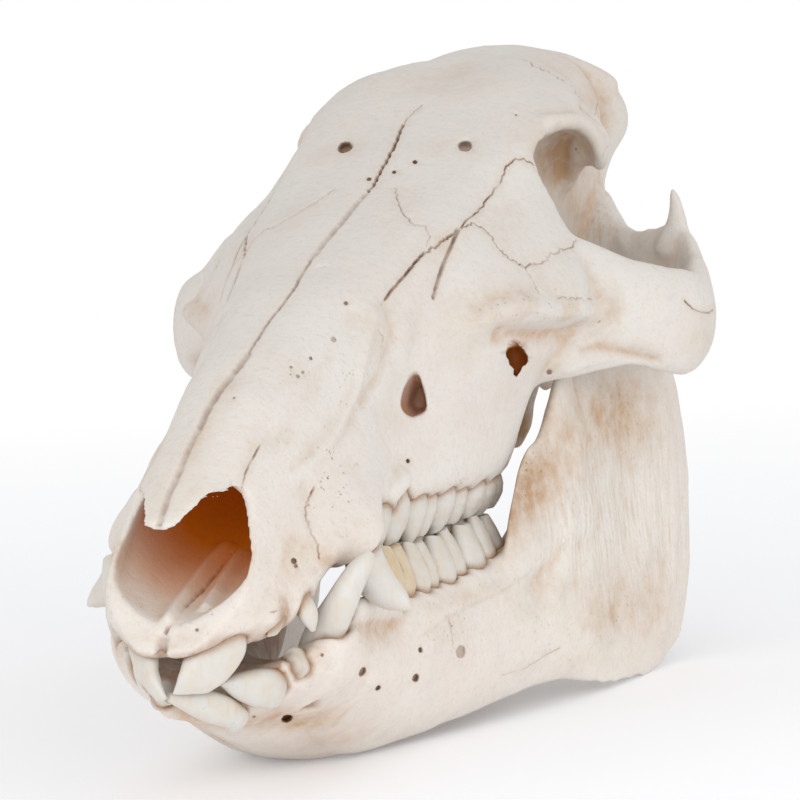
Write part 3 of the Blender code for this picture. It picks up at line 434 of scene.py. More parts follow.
# Heights of the necks, how long roots are, how much of a crown is ground off, half the gap of the bite, its
# waves and its tilt from the middle of the row, and half the gap between teeth, all in millimetres.
UPPER_NECK = 73.2
LOWER_NECK = 45.2
CHEEK_ROOT = 7.0
CROWN_SPARE = 4.0
BITE_GAP = 0.12
BITE_WAVE = 0.7
BITE_WAVE_LENGTH = 3.1
BITE_TILT = 0.05
ROW_MIDDLE = 34
TOOTH_GAP = 0.2

# The front cheek teeth are lower: the share of their height, and the distance back to which it holds.
SMALL_TOOTH_HEIGHT = 0.75
SMALL_TEETH_END = 100

# A front tooth's rounded tip: size of each last ring, and its lift in half thicknesses.
TIP_RINGS = ((0.85, 0.22), (0.5, 0.42))

# Lobes of a cheek tooth by their number, from the front: share of its length, step outwards in millimetres.
LOBES = {1: [(1.0, 0.0)], 2: [(0.55, 0.35), (0.45, -0.55)], 3: [(0.42, 0.35), (0.33, -0.4), (0.25, -1.2)]}

# Rings of each cusp: lift in millimetres and in crown heights, length and width. Then, as shares of the
# tooth's width or height, how far a cusp stands aside, its width, overlap and twist, and how it leans and
# closes in.
CUSP_LEVELS = (
    (-CHEEK_ROOT, 0, 0.66, 0.6),
    (-1.0, 0, 0.84, 0.86),
    (1.4, 0, 0.98, 1.0),
    (0, 0.4, 1.04, 1.02),
    (0, 0.66, 0.92, 0.84),
    (0, 0.88, 0.7, 0.6),
    (0, 1, 0.5, 0.42),
    (CROWN_SPARE, 1, 0.18, 0.16),
)
CUSP_ASIDE = 0.2
CUSP_WIDTH = 0.3
CUSP_OVERLAP = 1.05
CUSP_TWIST = 0.06
CUSP_CLOSING = 0.05
CUSP_SQUARE = 0.9
TOOTH_SQUARE = 0.85
LOWER_LEAN = 0.2
UPPER_LEAN = 0.1

# The line of the bite: distance back and height.
BITE_LINE = [
    (88, 59.0), (105, 60.2), (125, 59.3), (140, 59.2), (155, 60.4), (170, 61.6), (190, 62.6), (206, 63.0),
]

# Lines drawn on the bones by where the photograph shows them, as pixels. Each row: the pixels, half width
# and depth in millimetres, wander in pixels, how dark it is, and whether the other side of the skull has
# it too.
CRANIUM_LINES = [
    ([(158, 527), (166, 500), (178, 472), (189, 446), (198, 429)], 1.0, 1.7, 0.3, 0.28, False),
    ([(198, 429), (209, 406), (221, 388), (237, 369), (248, 354)], 1.1, 1.8, 0.4, 0.42, False),
    ([(248, 354), (266, 324), (278, 309), (293, 290), (300, 276), (314, 255)], 0.5, 1.3, 0.4, 0.5, False),
    ([(314, 255), (323, 242), (341, 222), (357, 202), (366, 192)], 1.0, 1.6, 0.3, 0.3, False),
    ([(366, 192), (373, 185), (382, 167), (393, 149), (397, 138), (403, 124)], 0.5, 2.0, 1.0, 1.0, False),
    ([(403, 124), (411, 115), (422, 105)], 0.25, 0.8, 0.8, 0.6, False),
    ([(395, 188), (398, 204), (404, 215), (414, 224), (425, 226), (430, 234), (425, 249)], 0.25, 0.7, 1.2,
      0.5, True),
    ([(425, 251), (414, 264), (400, 281), (392, 290), (383, 304)], 0.45, 2.0, 0.4, 0.9, True),
    ([(427, 251), (437, 245), (446, 238), (459, 228)], 0.45, 1.6, 1.6, 0.8, True),
    ([(459, 228), (454, 240), (446, 258), (440, 276), (434, 297)], 0.6, 2.6, 0.3, 0.75, True),
    ([(459, 228), (473, 215), (482, 206), (489, 197), (500, 181), (506, 167), (518, 158), (524, 158),
      (534, 165)], 0.3, 0.9, 1.4, 0.9, True),
    ([(462, 228), (474, 222), (489, 233), (500, 248), (509, 258), (525, 267)], 0.28, 0.8, 1.3, 0.8, True),
    ([(525, 267), (539, 262), (552, 255), (566, 248), (576, 240)], 0.28, 0.6, 2.6, 0.6, True),
    ([(525, 267), (535, 283), (538, 295)], 0.25, 0.5, 1.2, 0.35, False),
    ([(550, 301), (560, 298), (575, 299), (592, 300)], 0.25, 0.5, 1.8, 0.4, False),
    ([(606, 308), (600, 322), (586, 334), (574, 345), (570, 356)], 0.3, 0.8, 0.8, 0.6, False),
    ([(242, 492), (246, 472), (254, 456), (266, 436)], 0.3, 1.2, 0.3, 1.0, True),
    ([(314, 487), (306, 508), (309, 523), (315, 537), (319, 547), (320, 558)], 0.35, 1.2, 0.9, 1.0, True),
    ([(685, 301), (692, 308), (700, 312), (708, 313), (713, 310)], 0.3, 0.8, 0.4, 0.9, True),
    ([(522, 60), (541, 68), (559, 77), (573, 89), (583, 102)], 0.3, 0.7, 1.4, 0.5, True),
    ([(598, 101), (597, 108), (595, 115)], 0.25, 0.5, 0.5, 0.5, False),
    ([(608, 146), (603, 151), (602, 157)], 0.3, 0.6, 0.5, 0.5, False),
    ([(160, 659), (160, 650), (162, 640)], 1.7, 3.4, 0.2, 0.4, False),
    ([(160, 655), (160, 643), (166, 630), (176, 618), (190, 602), (202, 590), (218, 572), (232, 555)], 0.6,
      1.8, 0.4, 0.6, False),
    ([(371, 313), (378, 330), (384, 338), (383, 350)], 0.3, 0.5, 0.5, 0.35, False),
    ([(360, 392), (346, 412), (332, 432), (318, 452), (312, 470)], 0.3, 0.5, 0.6, 0.25, True),
    ([(270, 612), (278, 611), (286, 613), (287, 620)], 0.25, 0.6, 0.5, 0.6, False),
]
JAW_LINES = [
    ([(502, 675), (526, 668), (544, 656), (560, 648)], 0.2, 0.4, 0.4, 0.5, False),
    ([(447, 612), (452, 628), (453, 646)], 0.35, 0.5, 0.8, 0.4, False),
    ([(418, 640), (440, 622), (470, 606), (500, 592), (530, 574)], 0.7, 0.3, 0.5, 0.1, True),
]

# Holes and pits, by pixel. Each row: the pixel, radius and depth in millimetres, how dark, and both sides
# or not.
CRANIUM_PITS = [
    ((345, 147), 2.5, 4.6, 0.8, False), ((465, 146), 2.3, 3.6, 0.6, False),
    ((415, 162), 0.8, 1.6, 0.9, False), ((394, 172), 0.7, 1.4, 0.8, False),
    ((369, 179), 0.8, 1.5, 0.7, False), ((408, 461), 0.7, 1.6, 0.9, True),
    ((294, 561), 0.9, 1.4, 0.8, True), ((296, 566), 0.6, 1.0, 0.6, False),
    ((197, 630), 0.5, 0.8, 0.6, False), ((549, 372), 0.9, 1.2, 0.55, False),
    ((311, 358), 0.6, 0.8, 0.6, False), ((346, 303), 0.7, 0.9, 0.7, False),
    ((334, 339), 0.9, 0.7, 0.4, False), ((516, 115), 0.4, 0.6, 0.6, False),
    ((303, 372), 0.5, 0.6, 0.5, False), ((298, 376), 0.6, 0.6, 0.5, False),
    ((291, 367), 0.5, 0.6, 0.5, False), ((234, 398), 0.4, 0.5, 0.6, False),
    ((160, 438), 0.6, 0.8, 0.9, False), ((576, 149), 0.5, 0.5, 0.5, False),
]
JAW_PITS = [
    ((287, 719), 1.7, 4.0, 1.0, True), ((363, 672), 1.5, 2.6, 0.8, True),
    ((378, 688), 0.9, 2.0, 0.8, False), ((416, 678), 1.3, 2.4, 0.8, True),
    ((421, 650), 0.8, 2.0, 0.8, False), ((461, 652), 2.0, 1.4, 0.45, True),
    ((254, 717), 0.5, 0.8, 0.5, False), ((322, 655), 0.5, 0.8, 0.6, False),
]

# Soft rises (height over zero) and dips, by pixel path: pixels, half width and height in millimetres,
# both sides.
CRANIUM_FOLDS = [
    ([(480, 320), (520, 306), (560, 312), (594, 312), (606, 305)], 3.2, 2.4, True),
    ([(500, 336), (530, 338), (560, 338), (592, 333)], 3.8, -2.8, True),
    ([(585, 350), (602, 347), (620, 352), (640, 358), (655, 362)], 2.6, -1.8, True),
    ([(567, 371), (587, 364), (612, 358), (630, 358)], 1.1, 0.9, True),
    ([(408, 494), (397, 512), (391, 538)], 2.6, -1.6, True),
    ([(376, 312), (366, 350), (356, 392), (336, 430), (318, 455), (295, 480)], 1.8, 1.1, True),
    ([(352, 315), (335, 350), (316, 385), (296, 415), (276, 440)], 4.5, -1.2, True),
    ([(388, 306), (392, 335), (382, 370), (362, 402)], 2.6, -0.9, True),
    ([(424, 262), (412, 300), (402, 340), (402, 362)], 3.0, 0.8, True),
    ([(312, 478), (330, 455), (352, 438)], 4.5, 1.0, True),
    ([(404, 480), (390, 498), (382, 526), (374, 552)], 2.6, 2.4, True),
    ([(354, 470), (372, 500), (352, 540)], 4.0, -0.6, True),
    ([(168, 622), (184, 598), (198, 579), (212, 562), (226, 548)], 2.2, 2.2, False),
    ([(206, 609), (220, 588), (232, 570), (242, 556)], 2.0, 2.2, False),
    ([(620, 240), (626, 246)], 2.0, 1.0, False),
]
JAW_FOLDS = [
    ([(585, 380), (580, 430), (574, 490), (566, 550), (555, 600)], 5.0, 1.6, True),
    ([(625, 400), (630, 470), (630, 540), (622, 610)], 10.0, -2.0, True),
    ([(664, 400), (672, 480), (672, 560), (662, 630)], 4.0, 0.9, True),
    ([(420, 612), (450, 604), (480, 594), (505, 582)], 3.0, 0.7, True),
    ([(362, 628), (392, 628), (420, 640)], 6.0, -1.0, True),
]

# Where the real skull is lopsided or fuller: middle, reach and push in millimetres.
CRANIUM_PUSHES = [
    ((-44, 240, 181), (16, 27, 17), (5.8, 0, 0)), ((-60, 223, 152), (14, 16, 12), (-1.5, 0, 4.0)),
    ((-62, 215, 112), (16, 20, 12), (2.0, 0, 3.5)), ((-28, 262, 206), (18, 24, 10), (0, 0, 2.2)),
    ((20, 340, 210), (14, 12, 10), (0, 0, 1.0)),
]
JAW_PUSHES = [((-36, 45, 36), (14, 26, 18), (3.6, 0, 0)), ((-24, 28, 28), (12, 14, 12), (2.4, 0, 0))]

# Ragged holes, cut along the line of sight. A cutter starts in front of the surface and runs straight at
# first. Walls within reach of it are marked from a small depth on, and fully after a fade. All in
# millimetres.
HOLE_WALL_REACH = 1.3
HOLE_CLEAN_DEPTH = 0.9
HOLE_FADE = 3.5
CUTTER_START = -9.0
CUTTER_STRAIGHT = 1.5

# Their outlines as pixels, then depth in millimetres, taper, drift in pixels and how dark the walls are.
BROKEN_HOLE = [
    (505.5, 352), (509, 348), (513, 347), (518, 346), (523, 349), (528.5, 356), (529, 361), (527, 365),
    (523, 367), (521, 372), (516.5, 378), (512.5, 375), (513, 369), (509, 365), (508, 360), (506, 357),
]
NERVE_HOLE = [
    (417.5, 367), (420, 378), (422.5, 388), (425.5, 400), (426.5, 409), (423, 416), (419.5, 413.5),
    (414, 417.5), (407, 415.5), (401.5, 411), (399.5, 403), (402, 392), (407, 382), (412.5, 372),
]
BROKEN_CUT = (14.0, 0.1, (0.0, 0.0))
BROKEN_TONE = 1.0
NERVE_CUT = (16.0, 0.45, (7.0, 3.0))
NERVE_TONE = 0.6

# Patches of tone, as ellipses of the picture: middle, half width and half height in pixels, lean in
# degrees, the mark that it adds to and how strongly.
# The stain patches inside the orbit, under the facial crest, in the arch's recess and on the arch's inner
# face are painted shade; the others are stains.
CRANIUM_PATCHES = [
    (558, 160, 26, 30, 0, "stain", 0.95), (572, 190, 16, 34, 0, "stain", 0.5),
    (590, 215, 34, 40, 0, "fibre", 0.5), (585, 166, 8, 6, 0, "grease", 0.3),
    (664, 255, 30, 16, 0, "stain", 0.15), (598, 100, 26, 50, 10, "stain", 0.35),
    (560, 65, 40, 14, 25, "stain", 0.2), (625, 348, 36, 8, 12, "stain", 0.3),
    (530, 334, 46, 7, -6, "stain", 0.2), (560, 350, 30, 16, -20, "stain", 0.2),
    (540, 362, 12, 8, 0, "stain", 0.25), (552, 368, 16, 9, -30, "stain", 0.35),
    (524, 425, 16, 40, 10, "stain", 1.0), (562, 165, 40, 44, 0, "stain", 0.6),
    (192, 318, 22, 40, 0, "stain", 0.35), (205, 262, 16, 10, 0, "pores", 0.8),
    (330, 478, 26, 44, 10, "pores", 1.0), (345, 505, 24, 40, 0, "pores", 0.7),
    (287, 438, 12, 8, 0, "pores", 1.0), (287, 438, 11, 7, 0, "stain", 0.35),
    (296, 372, 16, 14, -30, "pores", 0.9), (296, 372, 14, 12, -30, "stain", 0.25),
    (530, 308, 60, 22, 0, "pores", 0.7), (590, 318, 16, 14, 0, "pores", 0.8),
    (350, 380, 30, 40, 20, "pores", 0.4), (140, 600, 40, 50, 0, "pores", 0.5),
    (240, 590, 44, 40, 0, "pores", 0.35), (330, 560, 14, 8, 0, "stain", 0.8),
    (306, 560, 14, 8, 0, "stain", 0.4), (440, 490, 60, 12, -14, "pores", 0.6),
    (440, 492, 60, 8, -14, "stain", 0.25), (196, 446, 9, 46, 24, "stain", 0.4),
    (215, 398, 8, 30, 30, "stain", 0.35), (160, 500, 18, 24, 0, "stain", 0.22),
    (250, 455, 8, 30, 20, "stain", 0.3), (505, 225, 34, 20, 0, "stain", 0.12),
    (440, 245, 24, 16, -30, "stain", 0.3), (380, 335, 22, 34, 20, "stain", 0.2),
    (400, 420, 16, 20, 0, "stain", 0.12), (348, 150, 14, 10, 0, "stain", 0.2),
    (470, 150, 12, 9, 0, "stain", 0.2), (120, 560, 14, 30, 10, "stain", 0.45),
    (150, 640, 34, 12, 12, "stain", 0.25), (268, 600, 26, 10, -30, "stain", 0.2),
    (430, 80, 90, 16, -6, "stain", 0.15), (400, 215, 30, 30, 0, "stain", 0.12),
    (700, 340, 14, 26, 10, "stain", 0.3),
]
# The stain patches along the front edge of the jaw's blade and inside the mouth, and the gum patch inside
# the mouth, are painted shade.
JAW_PATCHES = [
    (616, 416, 44, 46, 10, "stain", 0.8), (610, 392, 50, 24, 0, "stain", 0.5),
    (612, 608, 40, 40, 0, "stain", 0.55), (650, 600, 22, 46, 0, "stain", 0.45),
    (616, 420, 50, 50, 0, "pores", 0.5), (612, 606, 44, 44, 0, "pores", 0.4),
    (520, 496, 16, 48, 30, "gum", 0.4), (272, 628, 30, 16, -20, "gum", 0.85),
    (566, 440, 26, 60, 14, "stain", 0.55), (532, 492, 26, 60, 28, "stain", 0.95),
    (600, 500, 70, 110, 0, "fibre", 0.5), (660, 520, 40, 110, 0, "fibre", 0.4),
    (545, 600, 50, 26, -24, "stain", 0.25), (372, 628, 24, 22, 0, "pores", 0.8),
    (372, 634, 26, 18, 0, "stain", 0.42), (398, 612, 18, 12, 0, "stain", 0.25),
    (455, 634, 30, 26, 0, "pores", 0.7), (450, 632, 26, 24, 0, "stain", 0.22),
    (330, 738, 70, 18, -8, "stain", 0.3), (262, 640, 40, 26, -20, "stain", 1.0),
    (278, 712, 12, 8, -10, "stain", 0.6), (190, 715, 24, 10, 24, "stain", 1.0),
    (530, 470, 20, 50, 20, "stain", 0.6), (480, 590, 50, 14, -20, "pores", 0.6),
    (470, 596, 60, 12, -18, "stain", 0.3), (130, 690, 18, 30, 30, "stain", 0.7),
    (312, 655, 16, 18, 0, "stain", 0.45), (522, 478, 20, 54, 28, "pores", 0.8),
    (548, 420, 12, 40, 4, "stain", 0.7), (600, 500, 70, 120, 0, "pores", 0.25),
    (600, 660, 60, 14, -6, "stain", 0.15), (560, 640, 60, 40, 0, "pores", 0.35),
]

# What each bone carries: its node, its lines with the number of their first random draw, pits, folds and
# patches, the size and height of its uneven growth, and the depth of the groove round its teeth, in
# millimetres.
BONE_DETAIL = {
    "upper": {"node": "cranium", "lines": CRANIUM_LINES, "first draw": 100, "pits": CRANIUM_PITS,
              "folds": CRANIUM_FOLDS, "patches": CRANIUM_PATCHES, "groove": 0.4,
              "swells": [(26, 0.4), (9, 0.2), (4, 0.09), (2.2, 0.035)]},
    "lower": {"node": "mandible", "lines": JAW_LINES, "first draw": 500, "pits": JAW_PITS,
              "folds": JAW_FOLDS, "patches": JAW_PATCHES, "groove": 0.45,
              "swells": [(22, 0.4), (8, 0.2), (4, 0.09), (2.2, 0.035)]},
}

# Lights: name, share of the key's power, width, and metres to the camera's right, up and towards it.
LIGHTS = (("key light", 1.0, 1.1, 1.08, 0.5, 1.0), ("fill light", 1.1, 1.4, -0.8, 0.35, 1.3),
          ("front light", 0.75, 0.8, 0.1, 0.3, 1.5))
LIGHT_AIM = Vector((0, 0, 0.1))

# The floor in metres: its radius, from where to where it fades into the white room, and its faint light.
FLOOR_RADIUS = 4.0
FLOOR_FADE = (0.38, 1.1)
FLOOR_GLOW = 0.11

# The block that cuts the jaw flat where it rests, in metres.
REST_BLOCK = (0.4, 0.6, 0.02)


def linear(hex_colour):
    """Turn an sRGB hex colour into linear red, green and blue."""
    parts = [int(hex_colour[i:i + 2], 16) / 255 for i in (1, 3, 5)]
    return tuple(c / 12.92 if c <= 0.04045 else ((c + 0.055) / 1.055) ** 2.4 for c in parts)


def colour_property(name, description, hex_colour):
    """A colour that a user can change."""
    return FloatVectorProperty(name=name, description=description, subtype="COLOR", size=3, min=0.0, max=1.0,
                               default=linear(hex_colour))


def standing(point):
    """Turn a measured point into millimetres in the standing skull, which rests on chin and jaw angles."""
    x, y, z = point
    rise = math.sin(STANDING_TURN)
    level = math.cos(STANDING_TURN)
    back = CHIN_REST[0] + (y - CHIN_REST[0]) * level + (z - CHIN_REST[1]) * rise
    up = (z - CHIN_REST[1]) * level - (y - CHIN_REST[0]) * rise
    return Vector((x, back - CENTRE_Y, up))


def camera_axes():
    """Right, up and back of the camera, and where it stands, in millimetres in the standing skull."""
    back = Vector((math.sin(CAMERA_AZIMUTH) * math.cos(CAMERA_HEIGHT),
                   -math.cos(CAMERA_AZIMUTH) * math.cos(CAMERA_HEIGHT), math.sin(CAMERA_HEIGHT)))
    level = Vector((math.cos(CAMERA_AZIMUTH), math.sin(CAMERA_AZIMUTH), 0.0))
    high = back.cross(level)
    right = level * math.cos(CAMERA_ROLL) - high * math.sin(CAMERA_ROLL)
    up = level * math.sin(CAMERA_ROLL) + high * math.cos(CAMERA_ROLL)
    turn = Matrix.Rotation(-STANDING_TURN, 3, "X")
    return turn @ right, turn @ up, turn @ back, standing(CAMERA_POINT)


def curve_through(knots, values, wanted, closed_period=None):
    """Read a smooth curve through values at knots; with a period, the curve closes on itself."""
    knots = np.asarray(knots, float)
    values = np.asarray(values, float)
    if closed_period is not None:
        knots = np.concatenate([knots[-2:] - closed_period, knots, knots[:2] + closed_period])
        values = np.concatenate([values[-2:], values, values[:2]])
    step = np.diff(knots)[:, None]
    slope = np.diff(values, axis=0) / step
    tangent = np.empty_like(values)
    tangent[1:-1] = (slope[:-1] * step[1:] + slope[1:] * step[:-1]) / (step[1:] + step[:-1])
    tangent[0] = slope[0]
    tangent[-1] = slope[-1]
    index = np.clip(np.searchsorted(knots, wanted, side="right") - 1, 0, len(knots) - 2)
    width = (knots[index + 1] - knots[index])[:, None]
    t = (np.asarray(wanted) - knots[index])[:, None] / width
    a = values[index]
    b = values[index + 1]
    return ((2 * t**3 - 3 * t**2 + 1) * a + (t**3 - 2 * t**2 + t) * width * tangent[index]
            + (3 * t**2 - 2 * t**3) * b + (t**3 - t**2) * width * tangent[index + 1])


def closed_ring(points, count):
    """Spread count points evenly along a smooth closed curve through the section's points."""
    points = np.asarray(points, float)
    gaps = np.sqrt(np.linalg.norm(np.roll(points, -1, axis=0) - points, axis=1))
    knots = np.concatenate([[0.0], np.cumsum(gaps)[:-1]])
    period = gaps.sum()
    return curve_through(knots, points, np.linspace(0, period, count, endpoint=False), period)


def whole_section(half):
    """Complete a left half section with its mirror image."""
    return half + [(-x, z) for x, z in reversed(half[1:-1])]


def tree_of(shape):
    """A shape's faces, ready for finding the nearest point."""
    data = shape.data
    return BVHTree.FromPolygons([v.co for v in data.vertices], [p.vertices[:] for p in data.polygons])


def read_points(data):
    """A mesh's points in millimetres, one to a row."""
    points = np.empty(len(data.vertices) * 3)
    data.vertices.foreach_get("co", points)
    return points.reshape(-1, 3) / MM


def read_normals(data):
    """A mesh's normals, one to a row."""
    normals = np.empty(len(data.vertices) * 3)
    data.vertex_normals.foreach_get("vector", normals)
    return normals.reshape(-1, 3)


def write_points(data, points):
    """Put points in millimetres back into a mesh."""
    data.vertices.foreach_set("co", (points * MM).ravel())
    data.update()


def bell(ratio):
    """A soft bump: 1 in the middle, and near 0 from twice its width on."""
    return np.exp(-(ratio ** 2))


def skin(name, rings):
    """Join rings of equal count into one closed mesh, with a fan on each end."""
    mesh = bmesh.new()
    loops = [[mesh.verts.new(standing(p) * MM) for p in ring] for ring in rings]
    count = len(rings[0])
    for lower, upper in zip(loops[:-1], loops[1:]):
        for i in range(count):
            j = (i + 1) % count
            mesh.faces.new((lower[i], lower[j], upper[j], upper[i]))
    for loop in (loops[0], loops[-1]):
        middle = mesh.verts.new(sum((v.co for v in loop), Vector()) / count)
        for i in range(count):
            mesh.faces.new((loop[i], loop[(i + 1) % count], middle))
    bmesh.ops.recalc_face_normals(mesh, faces=mesh.faces)
    bmesh.ops.triangulate(mesh, faces=mesh.faces)
    return from_bmesh(name, mesh)


def from_bmesh(name, mesh):
    """Make an object of a bmesh, and free the bmesh."""
    data = bpy.data.meshes.new(name)
    mesh.to_mesh(data)
    mesh.free()
    shape = bpy.data.objects.new(name, data)
    bpy.context.scene.collection.objects.link(shape)
    return shape


def section_loft(name, stations, whole=True):
    """Loft sections that stand across Y, smooth both round each section and from one to the next."""
    places = np.array([row[0] for row in stations], float)
    rings = [closed_ring(whole_section(row[1]) if whole else row[1], RING_POINTS) for row in stations]
    wanted = np.linspace(places[0], places[-1], int((places[-1] - places[0]) / STATION_STEP) + 2)
    flat = np.array(rings).reshape(len(rings), -1)
    smooth = curve_through(places, flat, wanted).reshape(len(wanted), RING_POINTS, 2)
    return skin(name, [[(x, y, z) for x, z in ring] for y, ring in zip(wanted, smooth)])


def limb_loft(name, rows, upright_only=False):
    """Loft ovals along a smooth path; each oval stands square to the path, or bolt upright across it."""
    rows = np.array(rows, float)
    knots = np.concatenate([[0.0], np.cumsum(np.linalg.norm(np.diff(rows[:, :3], axis=0), axis=1))])
    wanted = np.linspace(0, knots[-1], max(4, int(knots[-1] / LIMB_STEP)))
    smooth = curve_through(knots, rows, wanted)
    turns = [math.tau * i / LIMB_POINTS for i in range(LIMB_POINTS)]
    rings = []
    for row, ahead in zip(smooth, np.gradient(smooth[:, :3], axis=0)):
        ahead = Vector((ahead[0], ahead[1], 0.0 if upright_only else ahead[2])).normalized()
        upright = Vector((0, 0, 1)) if abs(ahead.z) < STEEP else Vector((0, 1, 0))
        side = ahead.cross(upright).normalized()
        tall = side.cross(ahead).normalized()
        c = math.cos(math.radians(row[5]))
        s = math.sin(math.radians(row[5]))
        side, tall = side * c + tall * s, tall * c - side * s
        middle = Vector(row[:3])
        rings.append([middle + side * row[3] * math.cos(a) + tall * row[4] * math.sin(a) for a in turns])
    return skin(name, rings)


def mirror_twin(shape, name):
    """Add the same shape on the animal's other side."""
    data = shape.data.copy()
    for vertex in data.vertices:
        vertex.co.x = -vertex.co.x
    data.flip_normals()
    twin = bpy.data.objects.new(name, data)
    bpy.context.scene.collection.objects.link(twin)
    return twin


def both_sides(table):
    """Limbs of a table, each with its mirror twin."""
    shapes = []
    for name, rows in table:
        shape = limb_loft(name, rows, upright_only=name == "arch")
        shapes += [shape, mirror_twin(shape, name + "_twin")]
    return shapes


def remove(shapes):
    """Delete shapes that are used up."""
    for shape in shapes:
        bpy.data.objects.remove(shape, do_unlink=True)


def join_shapes(name, shapes):
    """Put the meshes of several overlapping shapes into one object, to be fused by its Remesh."""
    mesh = bmesh.new()
    for shape in shapes:
        mesh.from_mesh(shape.data)
    remove(shapes)
    return from_bmesh(name, mesh)


def apply_modifiers(shape):
    """Give the shape the mesh that its modifiers make, and drop them."""
    bpy.context.view_layer.update()
    made = bpy.data.meshes.new_from_object(shape.evaluated_get(bpy.context.evaluated_depsgraph_get()))
    shape.modifiers.clear()
    old = shape.data
    shape.data = made
    bpy.data.meshes.remove(old)
    return shape


def voxel_step(shape, grid):
    """Fuse a shape's overlapping parts on a grid in millimetres."""
    fuse = shape.modifiers.new("fuse forms", "REMESH")
    fuse.mode = "VOXEL"
    fuse.voxel_size = grid * MM


def cut_away(shape, cutters):
    """Cut hollows out of a closed shape."""
    for cutter in cutters:
        cut = shape.modifiers.new("open hollow", "BOOLEAN")
        cut.operation = "DIFFERENCE"
        cut.solver = "MANIFOLD"
        cut.object = cutter


def grow_bone(shape, cutters, grid, soften_steps):
    """Fuse overlapping forms into one bone, open its hollows and soften it."""
    voxel_step(shape, FUSE_GRID)
    cut_away(shape, cutters)
    voxel_step(shape, grid)
    soften = shape.modifiers.new("soften", "SMOOTH")
    soften.factor = 0.5
    soften.iterations = soften_steps
    apply_modifiers(shape)
    remove(cutters)
    return shape


def push_out(shape, rows):
    """Push the surface softly where the real bone is fuller or flatter."""
    points = read_points(shape.data)
    for middle, reach, push in rows:
        away = (points - np.array(standing(middle))) / np.array(reach)
        points += np.exp(-(away ** 2).sum(axis=1))[:, None] * np.array(push, float)
    write_points(shape.data, points)


def lumps(points, size, seed):
    """A smooth random field from -1 to 1, with lumps of a size in millimetres.

    Its large numbers only scramble each cell's own number.
    """
    scaled = points / size
    cell = np.floor(scaled).astype(np.int64)
    t = scaled - cell
    t = t * t * (3 - 2 * t)
    total = np.zeros(len(points))
    for corner in range(8):
        step = np.array([corner & 1, corner >> 1 & 1, corner >> 2 & 1])
        key = ((cell + step) * np.array([73856093, 19349663, 83492791])).sum(axis=1) + seed * 7919
        key = (key ^ (key >> 13)) * 1274126177 & 0xFFFFFFFF
        key = (key ^ (key >> 15)) * 668265263 & 0xFFFFFFFF
        value = (key >> 8 & 0xFFFF) / 32767.5 - 1
        total += np.where(step, t, 1 - t).prod(axis=1) * value
    return total


def to_path(points, path, reach):
    """Distance of each point to a path of points; beyond reach it is infinite."""
    distance = np.full(len(points), np.inf)
    near = np.flatnonzero(((points > path.min(0) - reach) & (points < path.max(0) + reach)).all(axis=1))
    if not len(near):
        return distance
    close = points[near]
    best = np.full(len(near), np.inf)
    for a, b in zip(path[:-1], path[1:]):
        run = b - a
        t = np.clip((close - a) @ run / max(run @ run, 1e-9), 0, 1)
        best = np.minimum(best, np.linalg.norm(close - a - t[:, None] * run, axis=1))
    distance[near] = best
    return distance


